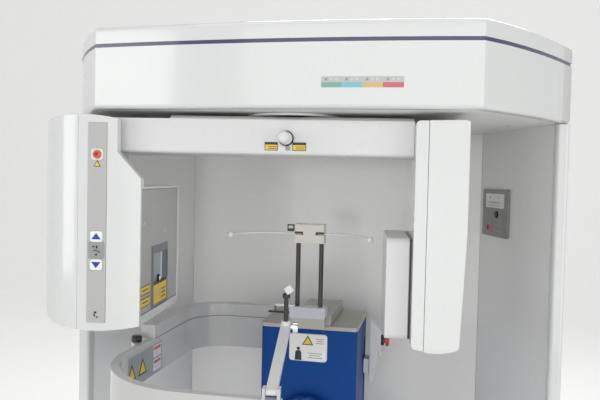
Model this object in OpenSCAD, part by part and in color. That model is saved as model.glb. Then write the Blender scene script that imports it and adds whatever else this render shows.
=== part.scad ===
// Seated dental cone beam scanner: a booth with an overhead box, a turning gantry that carries
// the tube head and the detector, and a lifting column with seat, ring, chin rest and head support.
// Millimetres. The origin is on the floor, under the gantry's axis. +X is the viewer's right,
// +Y runs back to the wall, +Z is up.

/* [Booth] */
// Overall width of the booth
booth_w = 1240; // [1240:5:1290]
// Distance from the gantry's axis to the inner face of the back wall
wall_y = 574; // [572:1:620]
// Width of each slanted wing, seen from the front
corner_w = 168; // [158:1:178]
// Distance from the axis to the front edges of the wings
wing_front_y = 185; // [170:1:200]
// Space between the back wall and the rear skin
booth_back_gap = 38; // [34:1:60]
// Thickness of the wall panels
panel_t = 8; // [6:1:10]
// Thickness of the outer skin
skin_t = 5; // [4:0.5:6]
// Width of the white edge trims
trim_w = 31; // [26:1:34]
// Depth of the white edge trims
trim_d = 34; // [28:1:40]
// Cut of the rear corners of the booth
rear_cut = 110; // [90:5:120]
// Height of the levelling feet
foot_h = 12; // [10:1:16]
// Thickness of the floor base
base_t = 38; // [34:1:45]
// Reach of the floor base in front of the axis
base_front = 330; // [300:5:360]
// Half width of the floor base at its front edge
base_front_half = 330; // [300:5:350]
// Radius of the floor anchor holes
anchor_r = 6; // [5:0.5:7]
// Distance between the anchor holes across the base
anchor_dx = 580; // [560:10:600]
// Distance between the anchor holes from front to back
anchor_dy = 380; // [360:10:400]

/* [Overhead box] */
// Height of the box's underside above the floor
head_bottom = 1655; // [1652:1:1670]
// Height of the overhead box
head_h = 175; // [170:1:190]
// Width of the front between its two creases
front_w = 810; // [790:5:820]
// Distance from the axis to the front creases
front_y = 160; // [158:1:165]
// How far the front bulges forward between the creases
front_bulge = 21.5; // [15:0.5:26]
// Slope at which the curved chamfers leave the front
chamfer_slope = 1.015; // [0.9:0.005:1.1]
// How much the chamfers steepen towards the sides
chamfer_bend = 0.934; // [0.8:0.002:1]
// Distance from the box's underside to the accent band's lower edge
band_up = 131; // [125:1:135]
// Height of the accent band
band_h = 8; // [6:0.5:10]
// Depth of the accent band's groove
band_groove = 3; // [2:0.5:4]
// Rounding of the lower edge
lower_round = 10; // [8:1:14]
// Rounding of the cap's upper edge
cap_round = 10; // [6:1:12]
// Thickness of the box's mouldings
head_wall = 5; // [4:0.5:6]
// Radius of the opening for the hub
hub_hole_r = 88; // [84:1:92]

/* [Gantry] */
// Angle at which the gantry is parked
park_angle = 6.3; // [0:0.1:10]
// Distance from the axis to the tube head's inner side
tube_inner = 305; // [300:1:315]
// Distance from the axis to the seam of the tube head's outer cover
tube_seam = 442; // [435:1:446]
// How far the curved outer cover stands out past its seam
tube_bulge = 120; // [110:1:122]
// Half depth of the tube head and the detector housing
housing_half = 146; // [140:1:148]
// Air between the overhead box and the top of the tube head
tube_drop = 13; // [11:1:19]
// Height of the tube head
tube_h = 461; // [450:1:465]
// Distance from the tube head's top down to the top of its wide lower part
shelf_drop = 152; // [142:1:172]
// Wall of the gantry's covers
cover_t = 4; // [3:0.5:5]
// Thickness of the tube head's front cover
face_t = 20; // [16:1:24]
// Width of the control strip
strip_w = 41; // [38:1:44]
// Air between the overhead box and the beam
beam_drop = 17; // [15:1:21]
// Height of the beam
beam_h = 74; // [70:1:78]
// Half depth of the beam
beam_half = 110; // [100:1:115]
// Height of the beam's lid above the beam
lid_h = 9; // [7:0.5:10]
// Distance from the axis to the detector housing
det_inner = 264; // [262:1:268]
// Distance from the axis to the detector housing's outer edge
det_outer = 374; // [370:1:380]
// Height of the detector housing
det_h = 475; // [465:1:475]
// Distance from the axis to the sensor cover's face
sensor_face = 211.5; // [211:0.5:216]
// Distance from the detector housing's lowest point up to the sensor cover
sensor_up = 17; // [17:1:25]
// Height of the sensor cover
sensor_h = 214; // [205:1:218]
// Half depth of the sensor cover
sensor_half = 112; // [100:1:118]
// Radius of the hub's neck
neck_r = 22; // [20:1:26]
// Radius of the bearing race on the hub
race_r = 62; // [58:1:66]
// Radial clearance of the running fits
run_gap = 0.06; // [0.03:0.01:0.09]
// Radius of the hub's belt pulley
pulley_r = 98; // [92:1:100]
// Radius of the motor's belt pulley
pinion_r = 24.5; // [22:0.5:26]
// Distance from the axis to the drive motor
motor_y = 262; // [250:1:280]

/* [Column] */
// Width of the column
column_w = 258; // [250:1:266]
// Distance from the axis to the column's front
column_y = 236; // [232:1:240]
// Depth of the column
column_d = 236; // [228:1:240]
// Height of the column's cap
cap_z = 1128; // [1122:1:1128]
// Height of the cap's lip
cap_h = 12; // [10:1:14]
// Wall of the column's shell
column_t = 5; // [4:0.5:6]
// Height of the seat frame's upper side
seat_z = 585; // [580:1:600]
// Thickness of the seat cushion
seat_pad_t = 55; // [45:1:65]
// Half width of the seat cushion
seat_half = 195; // [180:1:210]
// Reach of the seat cushion in front of the axis
seat_front = 170; // [150:1:190]
// Thickness of the back cushion
back_pad_t = 42; // [36:1:46]
// Half width of the back cushion
back_pad_half = 88; // [80:1:95]
// Top of the back cushion
back_pad_top = 957; // [940:1:970]

/* [Ring and gate] */
// Distance from the axis to the ring's inner wall at the left
ring_x = 358; // [354:1:360]
// Distance from the axis to the ring's inner wall at the back
ring_back = 382; // [376:1:386]
// Distance from the axis to the gate's inner wall at the front
gate_front = 284; // [280:1:290]
// Inner radius of the ring's rear corner
ring_rear_r = 105; // [95:1:115]
// Inner radius of the gate's front corner
gate_r = 210; // [200:1:215]
// Thickness of the band
band_t = 19; // [18:1:21]
// Bottom of the band
ring_bottom = 1016; // [1010:1:1020]
// Top of the lower band
ring_top = 1106; // [1098:1:1106]
// Width of the upper bar
bar_w = 38; // [34:1:40]
// Top of the upper bar
bar_top = 1140; // [1134:1:1142]
// Front end of the upper bar
bar_end = 64; // [60:1:70]
// Place of the joint between ring and gate
gate_split = 29; // [26:1:34]
// Gap at the joint between ring and gate
gate_gap = 2; // [1:0.5:3]
// Reach of the gate past the middle
gate_tip = 52; // [50:1:56]
// Distance of the gate's hinge from the axis, to the left
hinge_x = 396; // [394:1:400]
// Distance of the gate's hinge behind the axis
hinge_y = 40; // [38:1:42]
// Radius of the hinge knuckles
hinge_r = 13; // [12:0.5:14]
// Radius of the hinge pin
hinge_pin_r = 5; // [4:0.5:6]

/* [Chin rest] */
// Place of the arm's pivot across the ring
chin_x = 33; // [30:1:34]
// Height of the arm's pivot
chin_z = 1119; // [1117:1:1121]
// Length of the arm from pivot to rod
chin_len = 248; // [240:1:252]
// Slope of the arm
chin_slope = 15.9; // [15:0.1:17]
// Turn of the arm seen from above
chin_turn = 7; // [5:0.5:9]
// Width of the arm
chin_w = 21; // [18:1:23]
// Thickness of the arm
chin_t = 13; // [11:1:15]
// Radius of the chin rod
rod_r = 4.8; // [4:0.1:5.2]
// Length of the chin rod above the arm
rod_len = 66; // [56:1:72]

/* [Head support] */
// Shift of the head support to the right of the middle
head_x = 8; // [6:1:8]
// Distance from the axis to the two rods
head_y = 188; // [184:1:188]
// Distance between the two rods
head_rod_dx = 60; // [56:1:64]
// Radius of the two rods
head_rod_r = 5.8; // [5:0.1:6.2]
// Bottom of the head block
block_z = 1350; // [1345:1:1355]
// Height of the head block
block_h = 49; // [46:1:51]
// Width of the head block
block_w = 77; // [74:1:79]
// Depth of the head block
block_d = 28; // [26:1:28]
// Height of the temple arms
temple_z = 1374; // [1372:0.5:1376]
// Radius of the temple arms' bend
temple_r = 110; // [104:1:110]
// Top of the carriage plate
carriage_top = 1187; // [1184:1:1190]
// Thickness of the carriage plate
carriage_t = 24; // [20:1:24]
// Width of the carriage plate
carriage_w = 94; // [90:1:98]

/* [Hidden] */

$fn = 48;
eps = 0.01;
// Air between pieces that only lie next to each other
gap = 0.5;
// Air between parts that slide past each other
slide_gap = 0.3;

floor_z = foot_h + base_t;
back_wall_w = booth_w - 2 * corner_w;
head_top = head_bottom + head_h;
band_z = head_bottom + band_up;
tube_top = head_bottom - tube_drop;
tube_bottom = tube_top - tube_h;
tube_shelf = tube_top - shelf_drop;
beam_top = head_bottom - beam_drop;
beam_bottom = beam_top - beam_h;
det_top = beam_top + 2;
det_bottom = det_top - det_h;
sensor_bottom = det_bottom + sensor_up;
sensor_top = sensor_bottom + sensor_h;
half_w = booth_w / 2;
rear_y = wall_y + booth_back_gap;

// Plan of the booth and the overhead box, made of arcs and straight runs
front_half = front_w / 2;
front_r = (pow(front_half, 2) + pow(front_bulge, 2)) / (2 * front_bulge);
front_sweep = asin(front_half / front_r);
function front_arc(n) = [for (i = [-n : n])
    let (a = front_sweep * i / n)
    [front_r * sin(a), -front_y - front_bulge + front_r * (1 - cos(a))]];
// The chamfers steepen from the creases to the sides
function chamfer_y(x) = let (t = x / front_half - 1)
    front_half * (chamfer_slope * t + chamfer_bend * t * t) - front_y;
function chamfer_arc(n) = [for (i = [1 : n])
    let (x = front_half + (half_w - front_half) * i / n) [x, chamfer_y(x)]];
function mirrored(pts) = [for (i = [len(pts) - 1 : -1 : 0]) [-pts[i][0], pts[i][1]]];
booth_plan = concat(front_arc(8), chamfer_arc(5),
    [[half_w, rear_y - rear_cut], [half_w - rear_cut, rear_y]],
    [[-half_w + rear_cut, rear_y], [-half_w, rear_y - rear_cut]],
    mirrored(chamfer_arc(5)));

// Moves each corner of a convex outline inwards along its own bisector
function unit(v) = v / norm(v);
function side_normal(a, b) = let (d = unit(b - a)) [-d[1], d[0]];
function inset(pts, d) = let (n = len(pts)) [for (i = [0 : n - 1])
    let (n0 = side_normal(pts[(i + n - 1) % n], pts[i]), n1 = side_normal(pts[i], pts[(i + 1) % n]))
    pts[i] + (n0 + n1) * d / (1 + n0 * n1)];

module slab(pts, z0, z1) {
    translate([0, 0, z0])
        linear_extrude(z1 - z0)
            polygon(pts);
}

// A plate with square sides between two corners
module block(lo, hi) {
    translate(lo)
        cube(hi - lo);
}

// A plate with rounded corners in plan
module rounded_plate(w, d, h, r) {
    linear_extrude(h)
        rounded_outline(w, d, r);
}

module rounded_outline(w, d, r) {
    union() {
        square([w - 2 * r, d], center = true);
        square([w, d - 2 * r], center = true);
        for (sx = [-1, 1], sy = [-1, 1])
            translate([sx * (w / 2 - r), sy * (d / 2 - r)])
                circle(r);
    }
}

// Booth

// The base follows the booth's plan at the back and narrows to a foot plate in front
base_nose_r = 60;
module base_outline() {
    union() {
        intersection() {
            polygon(booth_plan);
            translate([-half_w, wing_front_y - trim_d])
                square([booth_w, rear_y]);
        }
        translate([0, (wing_front_y - base_front) / 2])
            rounded_outline(2 * base_front_half, base_front + wing_front_y, base_nose_r);
        polygon([[-half_w, wing_front_y - trim_d], [half_w, wing_front_y - trim_d],
                 [base_front_half, -base_front + base_nose_r],
                 [-base_front_half, -base_front + base_nose_r]]);
    }
}

anchor_mid_y = -60;
tread_t = 3;
tread_pitch = 24;
module floor_base() {
    color("gainsboro")
        difference() {
            union() {
                translate([0, 0, foot_h])
                    linear_extrude(base_t)
                        base_outline();
                for (i = [0 : 9])
                    translate([0, -base_front + 3 * tread_pitch + i * tread_pitch, floor_z - eps])
                        rounded_plate(2 * base_front_half - 2 * base_nose_r - 40, tread_pitch / 2, tread_t, 5);
            }
            for (sx = [-1, 1], sy = [-1, 1])
                translate([sx * anchor_dx / 2, anchor_mid_y + sy * anchor_dy / 2, foot_h - 1])
                    cylinder(r = anchor_r, h = base_t + 2);
        }
}

foot_r = 26;
foot_spots = [[0, 0], [-235, -292], [235, -292], [-560, 250], [560, 250], [-440, 560], [440, 560]];
module levelling_feet() {
    color("dimgray")
        for (p = foot_spots)
            translate([p[0], p[1], 0])
                rotate_extrude()
                    polygon([[0, 0], [foot_r, 0], [foot_r, 4], [12, 8], [12, foot_h], [0, foot_h]]);
}

module back_wall() {
    color("darkgray")
        block([-back_wall_w / 2, wall_y, floor_z], [back_wall_w / 2, wall_y + panel_t, head_bottom]);
}

// Each wing runs from the wall's corner to the front edge of the booth
wing_in = [back_wall_w / 2 + gap, wall_y];
wing_out = [half_w - trim_w, wing_front_y];
wing_dir = unit(wing_out - wing_in);
module wing_outline() {
    polygon([wing_in, wing_out, wing_out + [panel_t, 0],
             wing_in + [panel_t, 0]]);
}

module wing_panels() {
    color("silver")
        for (s = [0, 1])
            mirror([s, 0, 0])
                translate([0, 0, floor_z])
                    linear_extrude(head_bottom - floor_z)
                        wing_outline();
}

trim_lip = 10;
module edge_trims() {
    color("white")
        for (s = [0, 1])
            mirror([s, 0, 0])
                translate([half_w - trim_w / 2, wing_front_y - trim_d / 2, floor_z])
                    rounded_plate(trim_w, trim_d - gap, head_bottom - floor_z, trim_lip);
}

vent_w = 260;
vent_h = 7;
vent_pitch = 18;
vent_rows = 8;
inlet_w = 50;
inlet_h = 28;
inlet_z = 170;
inlet_x = 330;
module outer_shell() {
    color("white")
        difference() {
            slab(booth_plan, floor_z, head_bottom);
            slab(inset(booth_plan, skin_t), floor_z - 1, head_bottom + 1);
            block([-booth_w, -booth_w, floor_z - 1], [booth_w, wing_front_y, head_bottom + 1]);
            for (i = [0 : vent_rows - 1])
                block([-vent_w / 2, rear_y - 2 * skin_t, 260 + i * vent_pitch],
                      [vent_w / 2, rear_y + 1, 260 + i * vent_pitch + vent_h]);
            block([inlet_x - inlet_w / 2, rear_y - 2 * skin_t, inlet_z],
                  [inlet_x + inlet_w / 2, rear_y + 1, inlet_z + inlet_h]);
        }
}

// Overhead box

// A convex moulding with its lower and upper edges rounded
function round_step(r, a) = r * (1 - sin(a));
function round_rise(r, a) = r * (1 - cos(a));
module soft_box(pts, z0, z1, r_low, r_up) {
    hull() {
        for (a = [0 : 22.5 : 90])
            translate([0, 0, z0 + round_rise(r_low, a)])
                linear_extrude(eps)
                    polygon(inset(pts, round_step(r_low, a)));
        for (a = [0 : 22.5 : 90])
            translate([0, 0, z1 - eps - round_rise(r_up, a)])
                linear_extrude(eps)
                    polygon(inset(pts, round_step(r_up, a)));
    }
}

pan_inset = 24;
module head_shell() {
    color("white")
        difference() {
            soft_box(booth_plan, head_bottom, band_z + lower_round, lower_round, lower_round);
            slab(inset(booth_plan, head_wall), head_bottom + head_wall + lower_round / 2, head_top);
            slab(inset(booth_plan, pan_inset), head_bottom - 1, head_top);
            slab(inset(booth_plan, -5), band_z, head_top);
        }
}

module accent_band() {
    color("midnightblue")
        difference() {
            slab(inset(booth_plan, band_groove), band_z, band_z + band_h);
            slab(inset(booth_plan, pan_inset), band_z - 1, band_z + band_h + 1);
        }
}

module head_cap() {
    color("white")
        difference() {
            soft_box(booth_plan, band_z + band_h - cap_round, head_top, cap_round, cap_round);
            slab(inset(booth_plan, -5), head_bottom, band_z + band_h);
            slab(inset(booth_plan, head_wall), band_z, head_top - head_wall);
        }
}

// The posts stand between the wings and the cut corners of the skin
post_d = 26;
post_air = 23;
corner_air = 35;
post_front = wall_y + panel_t + 2 - 48;
post_lo = back_wall_w / 2 + post_air;
post_hi = half_w + rear_y - rear_cut - post_front - post_d - corner_air;
post_x = (post_lo + post_hi) / 2;
post_w = post_hi - post_lo;
pan_t = 6;
module underside_pan() {
    color("darkgray")
        difference() {
            slab(inset(booth_plan, pan_inset + gap), head_bottom, head_bottom + pan_t);
            translate([0, 0, head_bottom - 1])
                cylinder(r = hub_hole_r + 4, h = pan_t + 2);
            for (s = [-1, 1])
                block([s * post_x - post_w / 2 - gap, post_front - gap, head_bottom - 1],
                      [s * post_x + post_w / 2 + gap, post_front + post_d + gap, head_bottom + 20]);
        }
}

hub_drop = 6;
module hub_ring() {
    color("whitesmoke")
        translate([0, 0, head_bottom])
            rotate_extrude($fn = 96)
                polygon([[hub_hole_r, -hub_drop], [hub_hole_r + 16, -hub_drop], [hub_hole_r + 16, -gap],
                         [hub_hole_r + 4 - gap, -gap], [hub_hole_r + 4 - gap, 12], [hub_hole_r, 12]]);
}

// Welded frame: two posts, a cross beam, two forward beams and the bearing plate
beam_x = 135;
bar_half = 20;
frame_lift = 37;
frame_z = head_bottom + frame_lift;
frame_h = 44;
plate_z = frame_z - 24;
plate_t = 12;
plate_half = 130;
frame_front = 90;
module main_frame() {
    color("slategray")
        difference() {
            union() {
                for (s = [-1, 1]) {
                    block([s * post_x - post_w / 2, post_front, floor_z],
                          [s * post_x + post_w / 2, post_front + post_d, frame_z + frame_h]);
                    block([s * beam_x - bar_half, -frame_front, frame_z],
                          [s * beam_x + bar_half, post_front + eps, frame_z + frame_h]);
                    block([s * beam_x - bar_half, -frame_front, plate_z],
                          [s * beam_x + bar_half, plate_half, frame_z + eps]);
                }
                block([-post_x - post_w / 2, post_front, frame_z],
                      [post_x + post_w / 2, post_front + post_d, frame_z + frame_h]);
                block([-beam_x - bar_half, -plate_half, plate_z],
                      [beam_x + bar_half, plate_half, plate_z + plate_t]);
            }
            translate([0, 0, plate_z - 1])
                cylinder(r = neck_r + 16, h = plate_t + 2);
        }
}

race_h = 30;
race_z = plate_z + plate_t + 1;
bearing_w = 32;
module bearing_ring() {
    color("silver")
        translate([0, 0, race_z - 1])
            difference() {
                cylinder(r = race_r + bearing_w, h = race_h + 2, $fn = 96);
                translate([0, 0, -1])
                    cylinder(r = race_r + run_gap, h = race_h + 4, $fn = 96);
            }
}

// Belt drive from the motor to the hub
pulley_z = race_z + race_h + 5;
pulley_h = 18;
belt_t = 3;
motor_plate_z = frame_z + frame_h;
motor_shaft_r = 7;
motor_r = 40;
motor_h = 62;
module drive_motor() {
    color("darkslategray")
        difference() {
            union() {
                block([-beam_x - 18, motor_y - 60, motor_plate_z],
                      [beam_x + 18, motor_y + 60, motor_plate_z + 6]);
                translate([0, motor_y, motor_plate_z + 6 - eps])
                    cylinder(r = motor_r, h = motor_h);
                for (a = [0 : 30 : 330])
                    translate([0, motor_y, motor_plate_z + 10])
                        rotate([0, 0, a])
                            block([motor_r - 2, -1.5, 0], [motor_r + 4, 1.5, motor_h - 14]);
            }
            translate([0, motor_y, motor_plate_z - 1])
                cylinder(r = motor_shaft_r + run_gap, h = 40);
        }
}

module motor_pulley() {
    color("silver")
        translate([0, motor_y, 0]) {
            translate([0, 0, pulley_z])
                cylinder(r = pinion_r - slide_gap, h = pulley_h);
            translate([0, 0, pulley_z + pulley_h - eps])
                cylinder(r = motor_shaft_r, h = motor_plate_z + 30 - pulley_z - pulley_h);
        }
}

// Outline of a belt that runs round both pulleys
belt_angle = acos((pulley_r - pinion_r) / motor_y);
module belt_outline(grow) {
    hub_t = [for (s = [1, -1]) [(pulley_r + grow) * sin(belt_angle) * s, (pulley_r + grow) * cos(belt_angle)]];
    pin_t = [for (s = [1, -1]) [(pinion_r + grow) * sin(belt_angle) * s,
                                motor_y + (pinion_r + grow) * cos(belt_angle)]];
    circle(r = pulley_r + grow, $fn = 96);
    translate([0, motor_y])
        circle(r = pinion_r + grow, $fn = 48);
    polygon([hub_t[0], pin_t[0], pin_t[1], hub_t[1]]);
}

module drive_belt() {
    color("black")
        translate([0, 0, pulley_z + 2])
            linear_extrude(pulley_h - 4)
                difference() {
                    belt_outline(belt_t);
                    belt_outline(slide_gap);
                }
}

// Control plate with its button on the right wing
plate_w = 165;
plate_h = 134;
plate_mid_z = 1429;
plate_along = 112;
wing_angle = atan2(wing_dir[1], wing_dir[0]);
wall_plate_t = 7;
button_r = 9;
module on_wing() {
    translate([wing_in[0] + wing_dir[0] * plate_along, wing_in[1] + wing_dir[1] * plate_along, plate_mid_z])
        rotate([0, 0, wing_angle - 180])
            rotate([-90, 0, 0])
                children();
}

module wall_plate() {
    color("dimgray")
        on_wing()
            difference() {
                rounded_plate(plate_w, plate_h, wall_plate_t, 6);
                translate([-14, 4, 2])
                    cylinder(r = button_r + slide_gap, h = wall_plate_t);
            }
}

module wall_button() {
    color("black")
        on_wing()
            translate([-14, 4, 4.5])
                cylinder(r = button_r, h = 6);
}

// Gantry, drawn along X and turned to its parked angle
module parked() {
    rotate([0, 0, park_angle])
        children();
}

hub_flange_r = 66;
module hub_shaft() {
    color("silver")
        parked()
            rotate_extrude($fn = 96)
                polygon([[0, beam_frame_top], [hub_flange_r, beam_frame_top], [hub_flange_r, beam_frame_top + 8],
                         [36, beam_frame_top + 8], [34, beam_top + lid_h], [27, beam_top + lid_h + 4],
                         [neck_r, beam_top + lid_h + 12], [neck_r, race_z], [race_r, race_z],
                         [race_r, race_z + race_h], [neck_r, race_z + race_h], [neck_r, pulley_z],
                         [pulley_r, pulley_z], [pulley_r, pulley_z + pulley_h], [0, pulley_z + pulley_h]]);
}

// Inner side of the neck between the tube head's shelf and the beam, and its rear side
neck_inner = 380;
neck_back = -60;
beam_left = neck_inner - 2 * gap;

// Steel arm inside the beam, with an end plate in each housing
beam_frame_top = beam_top - 14;
beam_frame_half = 46;
frame_left = tube_seam - 6;
frame_right = 330;
// Lower end and front side of the plate in the tube head
plate_low = tube_shelf - 70;
plate_reach = housing_half - 24;
module gantry_frame() {
    color("gray")
        parked()
            difference() {
                union() {
                    block([-frame_left, -beam_frame_half, beam_bottom + 8], [frame_right, beam_frame_half, beam_frame_top]);
                    block([-frame_left, -plate_reach, plate_low], [-frame_left + 12, neck_back - 8, beam_frame_top]);
                    block([-frame_left, -plate_reach, beam_bottom + 8], [-frame_left + 12, beam_frame_half, beam_frame_top]);
                    block([frame_right - 12, -70, sensor_top - 16], [frame_right, 70, beam_frame_top]);
                }
                block([-frame_left + 12 + eps, -beam_frame_half + 5, beam_bottom + 13],
                      [frame_right - 12 - eps, beam_frame_half - 5, beam_frame_top - 5]);
            }
}

module beam_profile(grow, top) {
    r = 8;
    union() {
        translate([-beam_half + r, beam_bottom + r])
            circle(r = r + grow);
        translate([beam_half - r, beam_bottom + r])
            circle(r = r + grow);
        translate([-beam_half + r, beam_bottom - grow])
            square([2 * beam_half - 2 * r, top - beam_bottom + grow]);
        translate([-beam_half - grow, beam_bottom + r])
            square([2 * beam_half + 2 * grow, top - beam_bottom - r]);
    }
}

module along_beam(x0, x1) {
    translate([x0, 0, 0])
        rotate([90, 0, 90])
            linear_extrude(x1 - x0)
                children();
}

module beam_cover() {
    color("whitesmoke")
        parked()
            difference() {
                along_beam(-beam_left, det_inner - gap)
                    beam_profile(0, beam_top);
                along_beam(-beam_left - 1, det_inner + 1)
                    beam_profile(-cover_t, beam_top - cover_t);
                translate([0, 0, beam_top - 2 * cover_t])
                    cylinder(r = hub_flange_r + gap, h = 3 * cover_t);
                translate([knob_x, -beam_half - 1, knob_z])
                    rotate([-90, 0, 0])
                        cylinder(r = knob_pin_r + run_gap, h = 2 * cover_t);
            }
}

lid_half = 86;
lid_left = 262;
module beam_lid() {
    color("gainsboro")
        parked()
            difference() {
                along_beam(-lid_left, det_inner - gap)
                    polygon([[-lid_half, beam_top], [-lid_half, beam_top + lid_h - 4], [-lid_half + 6, beam_top + lid_h],
                             [lid_half - 6, beam_top + lid_h], [lid_half, beam_top + lid_h - 4], [lid_half, beam_top]]);
                translate([0, 0, beam_top - 1])
                    cylinder(r = 36, h = lid_h + 2, $fn = 96);
            }
}

// Front view of the tube head, as a closed line of distance from the axis and height
tube_outer = tube_seam + tube_bulge;
gusset_top = [357, beam_bottom - 1];
gusset_low = [tube_inner, 1508];
// Slightly domed upper and lower ends
function crown(x, mid, half, rise) = rise * (1 - pow((x - mid) / half, 2));
crown_rise = 20;
function crown_top(x) = tube_top - crown_rise + crown(x, tube_seam, 130, crown_rise);
function crown_low(x) = tube_bottom + crown_rise - crown(x, 412, 130, crown_rise);
module tube_view(inner, top_steps, low_steps) {
    xs = [for (i = [0 : top_steps]) inner + (tube_outer - inner) * i / top_steps];
    polygon(concat([for (x = xs) [-x, max(crown_low(x), tube_bottom)]],
                   [for (i = [top_steps : -1 : 0]) [-xs[i], min(crown_top(xs[i]), tube_top)]]));
}

// Plan of the tube head: flat front, side and back, and a rounded outer side
module tube_plan(shrink) {
    union() {
        translate([-tube_seam, -housing_half + shrink])
            square([tube_seam - tube_inner - shrink, 2 * housing_half - 2 * shrink]);
        intersection() {
            translate([-tube_seam, 0])
                scale([(tube_bulge - shrink) / (housing_half - shrink), 1])
                    circle(r = housing_half - shrink, $fn = 72);
            translate([-tube_outer - 1, -housing_half])
                square([tube_bulge + 1 + eps, 2 * housing_half]);
        }
    }
}

module front_extrude(y0, y1) {
    translate([0, y1, 0])
        rotate([90, 0, 0])
            linear_extrude(y1 - y0)
                children();
}

module tube_solid(shrink) {
    intersection() {
        front_extrude(-housing_half - 1, housing_half + 1)
            tube_view(tube_inner - 1, 14, 14);
        translate([0, 0, tube_bottom - 1])
            linear_extrude(tube_top - tube_bottom + 2)
                tube_plan(shrink);
    }
}

module tube_cavity() {
    block([-tube_seam - 1, -housing_half + cover_t, tube_bottom + 26],
          [-tube_inner - cover_t, housing_half - cover_t, tube_shelf - cover_t]);
    block([-tube_seam - 1, -housing_half + cover_t, tube_shelf - 2 * cover_t],
          [-neck_inner - cover_t, neck_back - cover_t, tube_top - 14]);
    block([-tube_seam - 1, -housing_half + cover_t, beam_bottom + cover_t],
          [-neck_inner - cover_t, housing_half - cover_t, tube_top - 14]);
}

panel_lo = [-137, tube_bottom + 32];
panel_hi = [141, tube_shelf - 5];
module tube_cover() {
    color("white")
        parked()
            difference() {
                tube_solid(0);
                block([-tube_outer - 2, -housing_half - 2, tube_bottom - 2],
                      [-tube_seam, housing_half + 2, tube_top + 2]);
                // step above the shelf, behind the front cover
                block([-neck_inner, -housing_half + face_t, tube_shelf], [0, housing_half + 2, tube_top + 2]);
                // open space between the shelf and the beam, behind the neck
                block([-tube_seam + cover_t, neck_back, tube_shelf],
                      [0, housing_half + 2, beam_bottom]);
                // the front cover's slanted corner
                front_extrude(-housing_half - 2, -housing_half + face_t + 1)
                    polygon([[-gusset_low[0] + 2, gusset_low[1] - 2.5], [-gusset_top[0], gusset_top[1]],
                             [-gusset_top[0], tube_top + 2], [-tube_inner + 5, tube_top + 2],
                             [-tube_inner + 5, gusset_low[1] - 2.5]]);
                tube_cavity();
                block([-tube_inner - 2 * cover_t, panel_lo[0], panel_lo[1]],
                      [-tube_inner + 2, panel_hi[0], panel_hi[1]]);
                // passage for the steel arm
                block([-neck_inner - 2 * cover_t, -beam_frame_half - 1, beam_bottom + 7],
                      [-neck_inner + 1, beam_frame_half + 1, beam_frame_top + 1]);
                strip_space(slide_gap);
                // room behind the two keys
                for (z = [up_z, down_z])
                    block([-strip_x - key_w / 2 - gap, -housing_half, z - key_h / 2 - gap],
                          [-strip_x + key_w / 2 + gap, -housing_half + 2 * cover_t, z + key_h / 2 + gap]);
            }
}

module tube_side_cover() {
    color("white")
        parked()
            difference() {
                tube_solid(0);
                block([-tube_seam - gap, -housing_half - 2, tube_bottom - 2],
                      [0, housing_half + 2, tube_top + 2]);
                intersection() {
                    translate([0, 0, tube_bottom + 26])
                        linear_extrude(tube_top - tube_bottom - 54)
                            tube_plan(cover_t);
                    block([-tube_outer, -housing_half, 0], [-tube_seam + 1, housing_half, head_top]);
                }
            }
}

// Control strip let into the front cover
strip_x = tube_seam - 42;
strip_lo = tube_bottom + 18;
strip_hi = tube_top - 18;
strip_t = 3;
module strip_space(grow) {
    front_extrude(-housing_half - 1, -housing_half + strip_t)
        translate([-strip_x, (strip_lo + strip_hi) / 2])
            square([strip_w + 2 * grow, strip_hi - strip_lo + 2 * grow], center = true);
}

lamp_z = strip_hi - 67;
up_z = strip_lo + 184;
down_z = up_z - 60;
key_w = 28;
key_h = 24;
key_travel = 2;
lamp_r = 9;
module control_strip() {
    color("darkgray")
        parked()
            difference() {
                strip_space(0);
                for (z = [up_z, down_z])
                    translate([-strip_x, -housing_half + strip_t + 1, z])
                        rotate([90, 0, 0])
                            rounded_plate(key_w + 2 * slide_gap, key_h + 2 * slide_gap, strip_t + 3, 6 + slide_gap);
                translate([-strip_x, -housing_half + strip_t + 1, lamp_z])
                    rotate([90, 0, 0])
                        rounded_plate(27 + gap, 24 + gap, strip_t + 3, 6);
            }
}

module key_cap(z) {
    color("white")
        parked()
            translate([-strip_x, -housing_half + strip_t - slide_gap, z])
                rotate([90, 0, 0])
                    rounded_plate(key_w, key_h, 5, 6);
}

module up_button() {
    key_cap(up_z);
}

module down_button() {
    key_cap(down_z);
}

module signal_lamp() {
    color("orangered")
        parked()
            translate([-strip_x, -housing_half + strip_t, lamp_z])
                rotate([90, 0, 0]) {
                    rounded_plate(27, 24, 5, 6);
                    rotate_extrude()
                        polygon([[0, 4], [lamp_r, 4], [lamp_r, 7], [lamp_r - 2, 9], [5, 10], [0, 10]]);
                }
}

// Height of the beam of rays
ray_z = tube_bottom + 125;
module inner_panel() {
    color("dimgray")
        parked()
            difference() {
                block([-tube_inner - 8, panel_lo[0] + gap, panel_lo[1] + gap],
                      [-tube_inner - 4, panel_hi[0] - gap, panel_hi[1] - gap]);
                block([-tube_inner - 9, -40, ray_z - 30], [-tube_inner - 3, 50, ray_z + 30]);
            }
}

window_lo = [-56, panel_lo[1] + 3];
window_hi = [60, ray_z + 49];
module ray_window() {
    color("slategray")
        parked()
            difference() {
                block([-tube_inner - 4, window_lo[0], window_lo[1]], [-tube_inner - 1, window_hi[0], window_hi[1]]);
                block([-tube_inner - 2.5, -47, ray_z - 32], [-tube_inner, 55, ray_z + 32]);
                translate([-tube_inner - 2.5, -25, ray_z - 44])
                    rotate([0, 90, 0])
                        cylinder(r = 6, h = 3);
            }
}

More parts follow.
